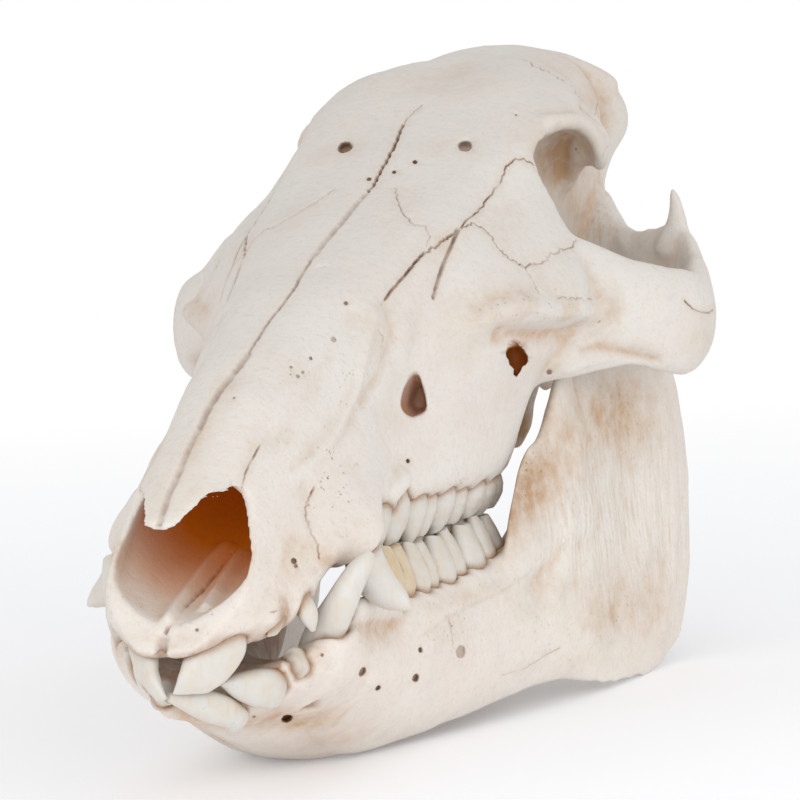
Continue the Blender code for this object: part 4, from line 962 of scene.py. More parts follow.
class Relief:
    """A bone's surface in millimetres, carved by lines, holes and folds, with the marks its finish reads."""

    def __init__(self, shape):
        self.shape = shape
        bpy.context.view_layer.update()
        self.tree = BVHTree.FromObject(shape, bpy.context.evaluated_depsgraph_get())
        self.right, self.up, self.back, self.eye = camera_axes()
        self.read()

    def read(self):
        """Read the mesh's points and normals, and clear its marks."""
        self.points = read_points(self.shape.data)
        self.normals = read_normals(self.shape.data)
        self.marks = {name: np.zeros(len(self.points)) for name in MARKS}

    def add_mark(self, name, where, tone):
        """Raise a mark to a tone where it is lower."""
        self.marks[name][where] = np.maximum(self.marks[name][where], tone)

    def sight(self, pixel):
        """The direction in which a pixel of the photograph looks."""
        across = (pixel[0] - IMAGE_MIDDLE) / FOCAL_PIXELS
        upward = (IMAGE_MIDDLE - pixel[1]) / FOCAL_PIXELS
        return (self.right * across + self.up * upward - self.back).normalized()

    def under_pixel(self, pixel):
        """The surface's point and normal that a pixel of the photograph shows."""
        hit, normal, face, reach = self.tree.ray_cast(self.eye * MM, self.sight(pixel))
        return (None, None) if hit is None else (np.array(hit) / MM, np.array(normal))

    def picture(self, twin):
        """Where each point, or its mirror image, lies in the picture, how deep, and how far it faces it."""
        turn = np.array([-1.0, 1.0, 1.0]) if twin else np.ones(3)
        away = self.points * turn - np.array(self.eye)
        depth = -(away @ np.array(self.back))
        u = IMAGE_MIDDLE + FOCAL_PIXELS * (away @ np.array(self.right)) / depth
        v = IMAGE_MIDDLE - FOCAL_PIXELS * (away @ np.array(self.up)) / depth
        return u, v, depth, (self.normals * turn) @ np.array(self.back)

    def path_under(self, pixels, wander=0.0, seed=0):
        """A path over the surface under a row of pixels, walked in short steps with some wander."""
        random = np.random.default_rng(seed)
        pixels = np.array(pixels, float)
        knots = np.concatenate([[0], np.cumsum(np.linalg.norm(np.diff(pixels, axis=0), axis=1))])
        steps = np.linspace(0, knots[-1], max(3, int(knots[-1] / PATH_STEP)))
        walk = np.stack([np.interp(steps, knots, pixels[:, i]) for i in (0, 1)], axis=1)
        walk[1:-1] += random.uniform(-wander, wander, (len(walk) - 2, 2))
        found = [self.under_pixel(p)[0] for p in walk]
        found = [p for p in found if p is not None]
        kept = found[:1]
        for p in found[1:]:
            if np.linalg.norm(p - kept[-1]) < PATH_GAP:
                kept.append(p)
        return np.array(kept) if len(kept) > 1 else None

    def sides(self, place, twin):
        """A place, and its mirror image if the other side of the skull has it too."""
        return [place, place * np.array([-1.0, 1.0, 1.0])] if twin else [place]

    def plan_lines(self, rows, seed):
        """Find the paths of all lines, so that the mesh can be refined along them."""
        self.lines = []
        for number, (pixels, half_width, depth, wander, dark, twin) in enumerate(rows):
            path = self.path_under(pixels, wander, seed + number)
            if path is None:
                continue
            for side in self.sides(path, twin):
                self.lines.append((side, half_width, depth, dark))

    def plan_pits(self, rows):
        """Find where each pit is drilled, mostly along the line of sight."""
        self.pits = []
        for pixel, radius, depth, dark, twin in rows:
            hit, normal = self.under_pixel(pixel)
            if hit is None:
                continue
            drill = np.array(self.sight(pixel)) * PIT_SIGHT_SHARE - normal
            drill /= np.linalg.norm(drill)
            for side, axis in zip(self.sides(hit, twin), self.sides(drill, twin)):
                self.pits.append((side, axis, radius, depth, dark))

    def refine(self):
        """Split the faces close to lines and pits, twice, so that they can carry fine detail."""
        mesh = bmesh.new()
        mesh.from_mesh(self.shape.data)
        for wide_band, slim_band in REFINE_BANDS:
            mesh.faces.ensure_lookup_table()
            middle = np.array([f.calc_center_median() for f in mesh.faces]) / MM
            chosen = np.zeros(len(middle), bool)
            for path, half_width, depth, dark in self.lines:
                band = half_width + (slim_band if half_width < SLIM_LINE else wide_band)
                chosen |= to_path(middle, path, band) < band
            for centre, axis, radius, depth, dark in self.pits:
                chosen |= np.linalg.norm(middle - centre, axis=1) < radius * PIT_BAND + wide_band
            edges = {e for i in np.flatnonzero(chosen) for e in mesh.faces[i].edges}
            bmesh.ops.subdivide_edges(mesh, edges=list(edges), cuts=1, use_grid_fill=True)
        mesh.to_mesh(self.shape.data)
        mesh.free()
        self.read()

    def thin(self, triangles):
        """Merge flat faces until the number of triangles is reached, sparing the dark lines and holes."""
        group = self.shape.vertex_groups.new(name="keep")
        dark = np.flatnonzero((self.marks["crack"] > CRACK_KEPT) | (self.marks["gum"] > GUM_KEPT))
        group.add(dark.tolist(), 1.0, "REPLACE")
        self.shape.data.calc_loop_triangles()
        thin = self.shape.modifiers.new("thin faces", "DECIMATE")
        thin.ratio = min(1.0, triangles / len(self.shape.data.loop_triangles))
        thin.vertex_group = "keep"
        thin.invert_vertex_group = True
        thin.vertex_group_factor = 1.0
        thin.use_collapse_triangulate = True
        apply_modifiers(self.shape)
        self.shape.data.shade_smooth()

    def carve(self):
        """Cut the planned lines and pits, and mark them dark."""
        for path, half_width, depth, dark in self.lines:
            reach = half_width * 3 + 1
            d = to_path(self.points, path, reach)
            near = np.flatnonzero(d < reach)
            d = d[near]
            ragged = LINE_DEPTH + LINE_RAGGED * lumps(self.points[near], LINE_LUMP, 5)
            self.points[near] -= self.normals[near] * (bell(d / half_width) * depth * ragged)[:, None]
            floor = np.clip(LINE_FLOOR - d / (half_width * LINE_SLOPE), 0, 1)
            self.add_mark("crack", near, floor * dark * np.clip(ragged + 0.15, 0, 1))
            self.add_mark("stain", near, bell(d / (half_width + HALO_WIDTH)) * HALO_TONE * dark)
        for centre, axis, radius, depth, dark in self.pits:
            away = self.points - centre
            along = away @ axis
            d = np.linalg.norm(away - along[:, None] * axis, axis=1)
            close = (d < radius * 2 + 1) & (np.abs(along) < radius * 2 + 4)
            near = np.flatnonzero(close & (self.normals @ axis < 0))
            ratio = d[near] / radius * (1 + PIT_RAGGED * lumps(self.points[near], radius * 0.9, 9))
            wall = np.clip((PIT_WALL[0] - ratio) / PIT_WALL[1], 0, 1)
            wall = wall * wall * (3 - 2 * wall) * depth + PIT_LIP[0] * radius * bell(ratio / PIT_LIP[1])
            self.add_mark("crack", near, np.clip((PIT_DARK[0] - ratio) / PIT_DARK[1], 0, 1) * dark)
            self.add_mark("stain", near, bell(ratio / PIT_HALO[1]) * PIT_HALO[0] * dark)
            self.points[near] += axis * wall[:, None]

    def fold(self, rows):
        """Raise soft ridges and press soft dips along paths."""
        for pixels, half_width, height, twin in rows:
            path = self.path_under(pixels)
            if path is None:
                continue
            for side in self.sides(path, twin):
                reach = half_width * 2.5
                d = to_path(self.points, side, reach)
                near = np.flatnonzero(d < reach)
                self.points[near] += self.normals[near] * (bell(d[near] / half_width) * height)[:, None]

    def patch(self, rows):
        """Add tone in cloudy patches, on both sides of the skull."""
        for twin in (False, True):
            u, v, depth, facing = self.picture(twin)
            for number, (x, y, half_wide, half_high, lean, mark, strength) in enumerate(rows):
                hit = self.under_pixel((x, y))[0]
                if hit is None:
                    continue
                level = (hit - np.array(self.eye)) @ -np.array(self.back)
                c = math.cos(math.radians(lean))
                s = math.sin(math.radians(lean))
                across = ((u - x) * c + (v - y) * s) / half_wide
                down = ((v - y) * c - (u - x) * s) / half_high
                close = (across ** 2 + down ** 2 < 4) & (np.abs(depth - level) < PATCH_DEPTH)
                near = np.flatnonzero(close & (facing > 0))
                cloud = 1 + PATCH_CLOUD * lumps(self.points[near], PATCH_LUMP, 40 + number)
                tone = np.exp(-PATCH_FALL * (across[near] ** 2 + down[near] ** 2)) * strength * cloud
                self.add_mark(mark, near, tone)

    def weather(self, amounts):
        """Uneven growth of the bone: broad swells, then smaller ones."""
        for size, height in amounts:
            push = lumps(self.points, size, int(size * 10)) * height
            self.points += self.normals * push[:, None]

    def mark_hollows(self):
        """Mark where the surface is hollow, which the finish darkens as painted shade."""
        self.marks["hollow"] = hollow_marks(self.shape.data, self.points, self.normals, turns=14,
                                            full_depth=0.5)

    def near_teeth(self, jaw, groove):
        """Sink and brown the bone at each tooth's neck, and raise a collar round it."""
        distance = np.full(len(self.points), np.inf)
        rise = np.zeros(len(self.points))
        for tooth in teeth_of(jaw):
            corners = read_points(tooth.data)
            low = corners.min(0) - TOOTH_REACH
            high = corners.max(0) + TOOTH_REACH
            near = np.flatnonzero(((self.points > low) & (self.points < high)).all(axis=1))
            tree = tree_of(tooth)
            found = np.array([tree.find_nearest(Vector(p * MM))[3] / MM for p in self.points[near]])
            distance[near] = np.minimum(distance[near], found)
            height = CANINE_COLLAR if "canine" in tooth.name and jaw == "lower" else COLLAR
            rise[near] = np.maximum(rise[near], bell((found - COLLAR_AT) / COLLAR_WIDTH) * height)
        sunk = bell(distance / GROOVE_WIDTH)
        self.points += self.normals * (rise - sunk * groove)[:, None]
        self.add_mark("gum", slice(None), sunk)

    def write(self):
        """Put the points back inside the solids' box, and store the marks with the mesh."""
        low = np.array(SOLIDS_LOW) / MM + BOX_MARGIN
        high = np.array(SOLIDS_HIGH) / MM - BOX_MARGIN
        store(self.shape.data, np.clip(self.points, low, high), self.marks)


def store(data, points, marks):
    """Put points in millimetres and their marks into a mesh."""
    data.vertices.foreach_set("co", (points * MM).ravel())
    for name, values in marks.items():
        layer = data.attributes.get(name) or data.attributes.new(name, "FLOAT", "POINT")
        layer.data.foreach_set("value", np.clip(values, 0, 1).astype(np.float32))
    data.shade_smooth()
    data.update()


def teeth_of(jaw):
    """The finished teeth of one jaw that stand in the scene."""
    return [o for o in bpy.data.objects if o.name.startswith(jaw) and o.name.endswith("_fine")]


def hollow_marks(data, points, normals, turns, full_depth):
    """How far each point lies under the mean of its neighbours, from 0 to 1."""
    edges = np.empty(len(data.edges) * 2, np.int64)
    data.edges.foreach_get("vertices", edges)
    a, b = edges.reshape(-1, 2).T
    degree = np.bincount(a, minlength=len(points)) + np.bincount(b, minlength=len(points))
    mean = points.copy()
    for turn in range(turns):
        total = np.stack([np.bincount(a, mean[b, i], len(mean)) + np.bincount(b, mean[a, i], len(mean))
                          for i in range(3)], axis=1)
        mean = total / degree[:, None]
    return np.clip(((mean - points) * normals).sum(axis=1) / full_depth, 0, 1)


def add_node(tree, kind, feeds=None, **settings):
    """Add a node, set its properties, and set or link its inputs; a node as a feed is its first output."""
    made = tree.nodes.new(kind)
    for name, value in settings.items():
        setattr(made, name, value)
    for name, value in (feeds or {}).items():
        if isinstance(value, bpy.types.Node):
            value = value.outputs[0]
        if isinstance(value, bpy.types.NodeSocket):
            tree.links.new(value, made.inputs[name])
        else:
            made.inputs[name].default_value = value
    return made


def new_material(name):
    """An empty material with its node tree, and the shader that its nodes feed."""
    finish = bpy.data.materials.new(name)
    finish.use_nodes = True
    tree = finish.node_tree
    tree.nodes.clear()
    shader = tree.nodes.new("ShaderNodeBsdfPrincipled")
    add_node(tree, "ShaderNodeOutputMaterial", {"Surface": shader.outputs["BSDF"]})
    return finish, tree, shader


def bone_finish(look):
    """Bone, boiled clean, degreased and dried: a matt ivory skin over a spongy core."""
    finish, tree, shader = new_material("bone_cleaned_and_dried")
    place = tree.nodes.new("ShaderNodeTexCoord").outputs["Object"]
    mark = {name: add_node(tree, "ShaderNodeAttribute", attribute_name=name).outputs["Fac"]
            for name in MARKS}
    heights = add_node(tree, "ShaderNodeSeparateXYZ", {"Vector": place})
    stretched = add_node(tree, "ShaderNodeMapping", {"Vector": place, "Scale": (1.0, 1.0, 0.09)})
    smeared = add_node(tree, "ShaderNodeMapping", {"Vector": place, "Scale": (0.65, 1.0, 1.0)})

    # Noises: name, vector, size in millimetres, detail and roughness.
    noise = {}
    for name, vector, size, detail, rough in (
            # Clouds: fat drawn out unevenly leaves pinkish, grey and cream areas.
            ("broad", place, 45, 3.0, 0.5), ("small", place, 14, 5.0, 0.65),
            # Fibres that run up the jaw's blade, where muscle pulled the bone.
            ("fibres", stretched, 1.6, 4.0, 0.6),
            # Stain soaked in cloudily, then smears, wider across the skull, as scraping left them.
            ("cloud", place, 6, 6.0, 0.7), ("smears", smeared, 2, 8.0, 0.85),
            # Areas where pores gather, then the skin's grain and shallow dents, for relief only.
            ("grit", place, 3.5, 2.0, 0.5), ("grain", place, 0.8, 3.0, 0.5), ("dents", place, 3, 4.0, 0.5)):
        feeds = {"Vector": vector, "Scale": 1 / (size * MM), "Detail": detail, "Roughness": rough}
        noise[name] = add_node(tree, "ShaderNodeTexNoise", feeds)

    # Pores 1.7 mm apart and up to 0.9 mm wide; real ones are 0.1 to 0.5 mm, too fine to show.
    pores = add_node(tree, "ShaderNodeTexVoronoi", {"Vector": place, "Scale": 1 / (1.7 * MM)})

    # Shares of tone: name, what it reads, from where to where, and its values there.
    share = {}
    for name, source, start, end, first, last in (
            ("warm", noise["broad"], 0.38, 0.66, 0, 1), ("cool", noise["small"], 0.5, 0.75, 0, 0.55),
            # Painted shade: a grey that darkens the skull's top, more with height.
            ("top_shade", heights.outputs["Z"], 0.03, 0.15, 0, look.top_shade_share),
            ("fibre", noise["fibres"], 0.45, 0.7, 0, 1), ("cloud", noise["cloud"], 0.3, 0.65, 0.35, 1.25),
            ("smear", noise["smears"], 0.5, 0.8, 0, 0.5), ("pore", pores, 0.12, 0.3, 1, 0),
            ("grit", noise["grit"], 0.5, 0.62, 0, 1),
            # The nose's lining is pinkish near the rim and keeps its grease, orange brown, further in.
            ("rim", mark["nose"], 0, 0.4, 0, 0.85), ("deep", mark["nose"], 0.25, 0.9, 0, 1),
            ("rough", noise["small"], 0.3, 0.7, 0.5, 0.68)):
        feeds = {"Value": source, "From Min": start, "From Max": end, "To Min": first, "To Max": last}
        share[name] = add_node(tree, "ShaderNodeMapRange", feeds)

    # Where marks and patterns meet: name, sum, whether it is clamped, and what goes in.
    made = dict(share, dents=noise["dents"], grain=noise["grain"])
    made.update(("mark " + name, socket) for name, socket in mark.items())
    for name, operation, clamp, *feeds in (
            ("fibre share", "MULTIPLY", False, "fibre", "mark fibre"),
            # Painted shade: every hollow is darkened with the stain's tan, on top of the stain.
            ("stain_and_hollow_shade", "MULTIPLY_ADD", False, "mark hollow", 0.55, "mark stain"),
            ("stain share", "MULTIPLY", True, "stain_and_hollow_shade", "cloud"),
            # A few pores are everywhere.
            ("everywhere", "MAXIMUM", False, "mark pores", 0.08),
            ("pore in grit", "MULTIPLY", False, "pore", "grit"),
            ("pore share", "MULTIPLY", True, "pore in grit", "everywhere"),
            # Dirt round the teeth, and the shade painted inside the mouth, is cloudy.
            ("gum share", "MULTIPLY", True, "mark gum", "cloud"),
            # The nose's thin walls let some light through, so its deep lining glows.
            ("glow", "MULTIPLY", False, "deep", look.glow),
            # The skin's fine relief, with its pores and fibres sunk in.
            ("skin", "MULTIPLY_ADD", False, "dents", 2.2, "grain"),
            ("pitted skin", "MULTIPLY_ADD", False, "pore share", -3.0, "skin"),
            ("relief", "MULTIPLY_ADD", False, "fibre share", -1.5, "pitted skin")):
        feeds = {i: made[feed] if isinstance(feed, str) else feed for i, feed in enumerate(feeds)}
        made[name] = add_node(tree, "ShaderNodeMath", feeds, operation=operation, use_clamp=clamp)

    # Tones laid over the ivory, one after another, each by its share.
    base = (*look.ivory, 1)
    for name, colour in (
            ("warm", look.warm), ("cool", look.cool), ("top_shade", look.top_shade), ("fibre share", look.tan),
            ("stain share", look.tan), ("smear", look.tan), ("pore share", look.brown), ("rim", look.pink),
            ("deep", look.grease), ("mark grease", look.marrow), ("gum share", look.brown),
            ("mark crack", look.crack)):
        feeds = {0: made[name], 6: base, 7: (*colour, 1)}
        base = add_node(tree, "ShaderNodeMix", feeds, data_type="RGBA").outputs[2]
    bump = add_node(tree, "ShaderNodeBump", {"Height": made["relief"], "Strength": 0.7,
                                             "Distance": 0.18 * MM})
    for name, source in (("Base Color", base), ("Emission Strength", made["glow"].outputs[0]),
                         ("Normal", bump.outputs[0]), ("Roughness", share["rough"].outputs[0])):
        tree.links.new(source, shader.inputs[name])
    shader.inputs["Emission Color"].default_value = (*look.grease, 1)
    shader.inputs["IOR"].default_value = 1.5
    shader.inputs["Specular IOR Level"].default_value = 0.35
    return finish


def tooth_finish(look):
    """Tooth enamel, worn: glossy white that thins to yellow dentine, with brown tartar at the neck."""
    finish, tree, shader = new_material("tooth_enamel_worn")
    place = tree.nodes.new("ShaderNodeTexCoord").outputs["Object"]
    mark = {name: add_node(tree, "ShaderNodeAttribute", attribute_name=name).outputs["Fac"]
            for name in ("neck", "worn", "yellow", "hollow")}

    # Clouds of 5 mm between white and cream, and faintly brown growth lines 1.3 mm apart along the crown.
    stretched = add_node(tree, "ShaderNodeMapping", {"Vector": place, "Scale": (1.0, 1.0, 0.12)})
    cloud = add_node(tree, "ShaderNodeTexNoise", {"Vector": place, "Scale": 1 / (5 * MM), "Detail": 5.0,
                                                  "Roughness": 0.6})
    lines = add_node(tree, "ShaderNodeTexNoise", {"Vector": stretched, "Scale": 1 / (1.3 * MM),
                                                  "Detail": 3.0})
    share = {}
    for name, source, start, end, first, last in (
            ("cream", cloud, 0.4, 0.7, 0, 1), ("line", lines, 0.55, 0.75, 0, 0.22),
            ("rough", cloud, 0.3, 0.7, 0.26, 0.4)):
        feeds = {"Value": source, "From Min": start, "From Max": end, "To Min": first, "To Max": last}
        share[name] = add_node(tree, "ShaderNodeMapRange", feeds)
    thin = add_node(tree, "ShaderNodeMath", {0: mark["yellow"], 1: cloud}, operation="MULTIPLY")
    thin = add_node(tree, "ShaderNodeMath", {0: thin, 1: 1.3}, operation="MULTIPLY", use_clamp=True)
    # The neck's tartar, and painted shade in the crown's grooves by their depth.
    neck = add_node(tree, "ShaderNodeMath", {0: mark["neck"], 1: 0.85, 2: mark["hollow"]},
                    operation="MULTIPLY_ADD", use_clamp=True)
    base = (*look.enamel, 1)
    for amount, colour in (
            (share["cream"], look.cream), (thin, look.dentine), (share["line"], look.dentine),
            (mark["worn"], look.cream), (neck, look.tartar)):
        feeds = {0: amount, 6: base, 7: (*colour, 1)}
        base = add_node(tree, "ShaderNodeMix", feeds, data_type="RGBA").outputs[2]
    bump = add_node(tree, "ShaderNodeBump", {"Height": lines, "Strength": 0.4, "Distance": 0.12 * MM})
    for name, source in (("Base Color", base), ("Normal", bump.outputs[0]),
                         ("Roughness", share["rough"].outputs[0])):
        tree.links.new(source, shader.inputs[name])
    shader.inputs["IOR"].default_value = 1.62
    return finish


def dress(piece, finish, node):
    """Give a finished piece its material, and let it stand for its solid."""
    piece.data.materials.clear()
    piece.data.materials.append(finish)
    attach(piece, "root")
    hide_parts(node)


def superellipse_ring(centre, long_dir, wide_dir, half_long, half_wide, square, points):
    """A ring of points on a rounded oblong."""
    ring = []
    for i in range(points):
        angle = math.tau * (i + 0.5) / points
        c = math.cos(angle)
        s = math.sin(angle)
        c = math.copysign(abs(c) ** square, c)
        s = math.copysign(abs(s) ** square, s)
        ring.append(centre + long_dir * half_long * c + wide_dir * half_wide * s)
    return ring


def edged_tooth(name, rows):
    """A front tooth, lofted smoothly through rows that give its two edges and half its thickness."""
    flat = np.array([(*a, *b, thick) for a, b, thick in rows], float)
    knots = np.arange(len(rows), dtype=float)
    smooth = curve_through(knots, flat, np.linspace(0, knots[-1], TOOTH_LEVELS))
    middles = (smooth[:, :3] + smooth[:, 3:6]) / 2
    ahead = np.gradient(middles, axis=0)
    rings = []
    for row, middle, axis in zip(smooth, middles, ahead):
        reach = Vector(row[3:6] - row[:3]) / 2
        across = Vector(axis).cross(reach).normalized()
        rings.append(superellipse_ring(Vector(middle), reach.normalized(), across, reach.length, row[6],
                                       TOOTH_SQUARE, TOOTH_POINTS))
    last = rings[-1]
    centre = sum(last, Vector()) / TOOTH_POINTS
    tip = Vector(ahead[-1]).normalized() * smooth[-1][6]
    for size, lift in TIP_RINGS:
        rings.append([centre + (p - centre) * size + tip * lift for p in last])
    return skin(name, rings)


def line_at(line, y):
    """Read a line, such as the outer edge of a tooth row, at a distance back."""
    return float(np.interp(y, [p[0] for p in line], [p[1] for p in line]))


def cheek_tooth(name, line, place, length, width, lobes, neck_z, tip_z):
    """A cheek tooth grown from rounded cusps, two across and one or more along, that lean in to the bite."""
    up = 1.0 if tip_z > neck_z else -1.0
    ahead = line_at(line, place - length / 2)
    behind = line_at(line, place + length / 2)
    slant = Vector((behind - ahead, length, 0.0)).normalized()
    axis = Vector((0, 0, up))
    across = axis.cross(slant).normalized()
    outward = Vector((1, 0, 0))
    x = (ahead + behind) / 2 - width / 2
    half = length / 2 - TOOTH_GAP
    height = abs(tip_z - neck_z)
    lean = LOWER_LEAN if up > 0 else UPPER_LEAN
    random = np.random.default_rng(int(place * 10))
    forms = []
    along = -half
    for share, step in LOBES[lobes]:
        part = share * half
        for side in (-1, 1):
            base = Vector((x, place, neck_z)) + slant * (along + part) + across * side * width * CUSP_ASIDE
            base = base + outward * step
            twist = random.uniform(-CUSP_TWIST, CUSP_TWIST)
            rings = []
            for fixed, risen, long_part, wide_part in CUSP_LEVELS:
                lift = fixed + risen * height
                rise = max(0.0, lift) / height
                middle = base + axis * lift - outward * (lean * height * rise ** 1.3)
                middle = middle + slant * (twist * height * rise)
                middle -= across * side * (CUSP_CLOSING * width * rise)
                rings.append(superellipse_ring(middle, slant, across, part * CUSP_OVERLAP * long_part,
                                               width * CUSP_WIDTH * wide_part, CUSP_SQUARE, CUSP_POINTS))
            forms.append(skin(name, rings))
        along += 2 * part
    tooth = join_shapes(name, forms)
    voxel_step(tooth, TOOTH_GRID)
    soften = tooth.modifiers.new("soften", "SMOOTH")
    soften.iterations = 2
    apply_modifiers(tooth)
    wear_bite(tooth, up)
    thin = tooth.modifiers.new("thin faces", "DECIMATE")
    thin.ratio = TOOTH_KEPT
    return apply_modifiers(tooth)


def wear_bite(tooth, up):
    """Grind a crown down to the bite line, with low steps where the other row's cusps met it."""
    points = read_points(tooth.data)
    y = (points[:, 1] - standing((0, 0, 0)).y) / math.cos(STANDING_TURN)
    bite = np.interp(y, [p[0] for p in BITE_LINE], [p[1] for p in BITE_LINE])
    wave = BITE_WAVE * np.sin(y / BITE_WAVE_LENGTH)
    bite += wave + BITE_TILT * (points[:, 0] - ROW_MIDDLE) * np.sign(points[:, 0])
    level = np.array([standing((0, a, b)).z for a, b in zip(y, bite)])
    if up > 0:
        points[:, 2] = np.minimum(points[:, 2], level - BITE_GAP)
    else:
        points[:, 2] = np.maximum(points[:, 2], level + BITE_GAP)
    write_points(tooth.data, points)


def finish_tooth(tooth, tip, yellow, finish):
    """Mark a tooth's worn end and its grooves, then give it its enamel."""
    data = tooth.data
    points = read_points(data)
    normals = read_normals(data)
    marks = {"worn": bell(np.linalg.norm(points - np.array(tip), axis=1) / WORN_REACH) * WORN_TONE,
             "yellow": np.full(len(points), yellow),
             "hollow": hollow_marks(data, points, normals, turns=8, full_depth=0.25),
             "neck": np.zeros(len(points))}
    points += normals * (0.12 * lumps(points, 3.0, 3) + 0.05 * lumps(points, 1.2, 4))[:, None]
    store(data, np.clip(points, np.array(SOLIDS_LOW) / MM, np.array(SOLIDS_HIGH) / MM), marks)
    dress(tooth, finish, tooth.name[:-len("_fine")])


def mark_necks(jaw, bone):
    """Brown each tooth of a jaw where it leaves the bone."""
    bpy.context.view_layer.update()
    tree = BVHTree.FromObject(bone, bpy.context.evaluated_depsgraph_get())
    for tooth in teeth_of(jaw):
        neck = []
        for vertex in tooth.data.vertices:
            hit, normal, face, reach = tree.find_nearest(vertex.co)
            inside = (vertex.co - hit).dot(normal) < 0
            neck.append(1.0 if inside else math.exp(-((reach / MM / NECK_REACH) ** 2)))
        tooth.data.attributes["neck"].data.foreach_set("value", neck)


def sight_cutter(name, relief, outline, depth, taper, drift):
    """A cutter that follows an outline of pixels along the line of sight, and narrows and drifts inwards."""
    middle = np.array(outline).mean(axis=0)
    hit = relief.under_pixel(tuple(middle))[0]
    reach = np.linalg.norm(hit - np.array(relief.eye))
    mesh = bmesh.new()
    rings = []
    for shift, size in ((CUTTER_START, 1.0), (CUTTER_STRAIGHT, 1.0), (depth * 0.5, 1 - taper * 0.4),
                        (depth, 1 - taper)):
        inward = max(0.0, shift - CUTTER_STRAIGHT) / depth
        ring = []
        for pixel in outline:
            place = middle + (np.array(pixel) - middle) * size + np.array(drift) * inward
            ring.append(mesh.verts.new((relief.eye + relief.sight(tuple(place)) * (reach + shift)) * MM))
        rings.append(ring)
    count = len(outline)
    for lower, upper in zip(rings[:-1], rings[1:]):
        for i in range(count):
            mesh.faces.new((lower[i], lower[(i + 1) % count], upper[(i + 1) % count], upper[i]))
    mesh.faces.new(rings[0])
    mesh.faces.new(rings[-1])
    bmesh.ops.recalc_face_normals(mesh, faces=mesh.faces)
    bmesh.ops.triangulate(mesh, faces=mesh.faces)
    return from_bmesh(name, mesh)


def nose_mouth():
    """The slanting bite that leaves the nasal bones overhanging the opening of the nose."""
    rings = []
    for x, lift in NOSE_EDGE_LIFT:
        rings.append([(x, y, z + (lift if z > NOSE_UPPER_EDGE else 0.0)) for y, z in NOSE_MOUTH])
    return skin("nose mouth", rings)


def walls_of(cutter):
    """A cutter's surface, and the box it fills in millimetres."""
    corners = read_points(cutter.data)
    return tree_of(cutter), corners.min(axis=0), corners.max(axis=0)


def mark_walls(relief, uncut, walls, strength):
    """Mark the walls of a hole cut along the line of sight, darker with depth, and of its mirror image."""
    tree, low, high = walls
    for flip in (1.0, -1.0):
        points = relief.points * np.array([flip, 1.0, 1.0])
        for i in np.flatnonzero(((points > low - 1) & (points < high + 1)).all(axis=1)):
            place = Vector(points[i])
            if tree.find_nearest(place * MM)[3] > HOLE_WALL_REACH * MM:
                continue
            away = place - relief.eye
            hit, normal, face, reach = uncut.tree.ray_cast(relief.eye * MM, away.normalized())
            if hit is not None:
                depth = (away.length - reach / MM - HOLE_CLEAN_DEPTH) / HOLE_FADE
                relief.add_mark("grease", i, min(1.0, max(0.0, depth)) * strength)


def mark_palate(relief):
    """Paint shade and brown on the palate: the points near the middle line's height, darker the more they
    face down.
    """
    line = [standing((0, back, half[-1][1])) for back, half in FACE]
    x, y, z = relief.points.T
    under = z < np.interp(y, [p.y for p in line], [p.z for p in line]) + PALATE_REACH
    tone = np.where(under & (np.abs(x) < PALATE_HALF_WIDTH), -relief.normals[:, 2], 0)
    relief.add_mark("gum", slice(None), np.clip(tone, 0, 1) * MOUTH_BROWN_AND_SHADE)


def mark_jaw_inside(relief):
    """Brown the lower jaw's inner walls, darker the more they face inwards, as painted shade, and the trough
    behind its front teeth, as dirt.
    """
    x, y, z = relief.points.T
    wall = np.where(y < WALL_BACK, -relief.normals[:, 0] * np.sign(x), 0)
    trough = np.where((np.abs(x) < TROUGH_HALF_WIDTH) & (y < TROUGH_BACK), relief.normals[:, 2], 0)
    relief.add_mark("gum", slice(None), np.clip(np.maximum(wall, trough), 0, 1) * MOUTH_BROWN_AND_SHADE)


def mark_nose(relief, nose_tree):
    """Mark the nose's lining, deeper with the distance back from the opening."""
    x, y, z = relief.points.T
    for i in np.flatnonzero((np.abs(x) < NOSE_HALF_WIDTH) & (y < NOSE_REAR)):
        hit, normal, face, reach = nose_tree.find_nearest(Vector(relief.points[i] * MM))
        if reach < NOSE_REACH * MM and np.dot(relief.normals[i], np.array(normal)) < NOSE_FACING:
            back = y[i] + NOSE_EDGE - NOSE_SLANT * z[i]
            relief.marks["nose"][i] = min(1.0, max(0.0, back / NOSE_DEPTH))


def detail_bone(jaw, bone, look, triangles, mark_more):
    """Carve, stain and thin a grown bone and give it its finish; mark_more adds marks that it alone has."""
    detail = BONE_DETAIL[jaw]
    relief = Relief(bone)
    relief.plan_lines(detail["lines"], detail["first draw"])
    relief.plan_pits(detail["pits"])
    relief.refine()
    relief.weather(detail["swells"])
    relief.fold(detail["folds"])
    relief.mark_hollows()
    relief.patch(detail["patches"])
    relief.near_teeth(jaw, detail["groove"])
    mark_more(relief)
    relief.carve()
    relief.write()
    relief.thin(triangles)
    mark_necks(jaw, bone)
    finish = bpy.data.materials.get("bone_cleaned_and_dried") or bone_finish(look)
    dress(bone, finish, detail["node"])


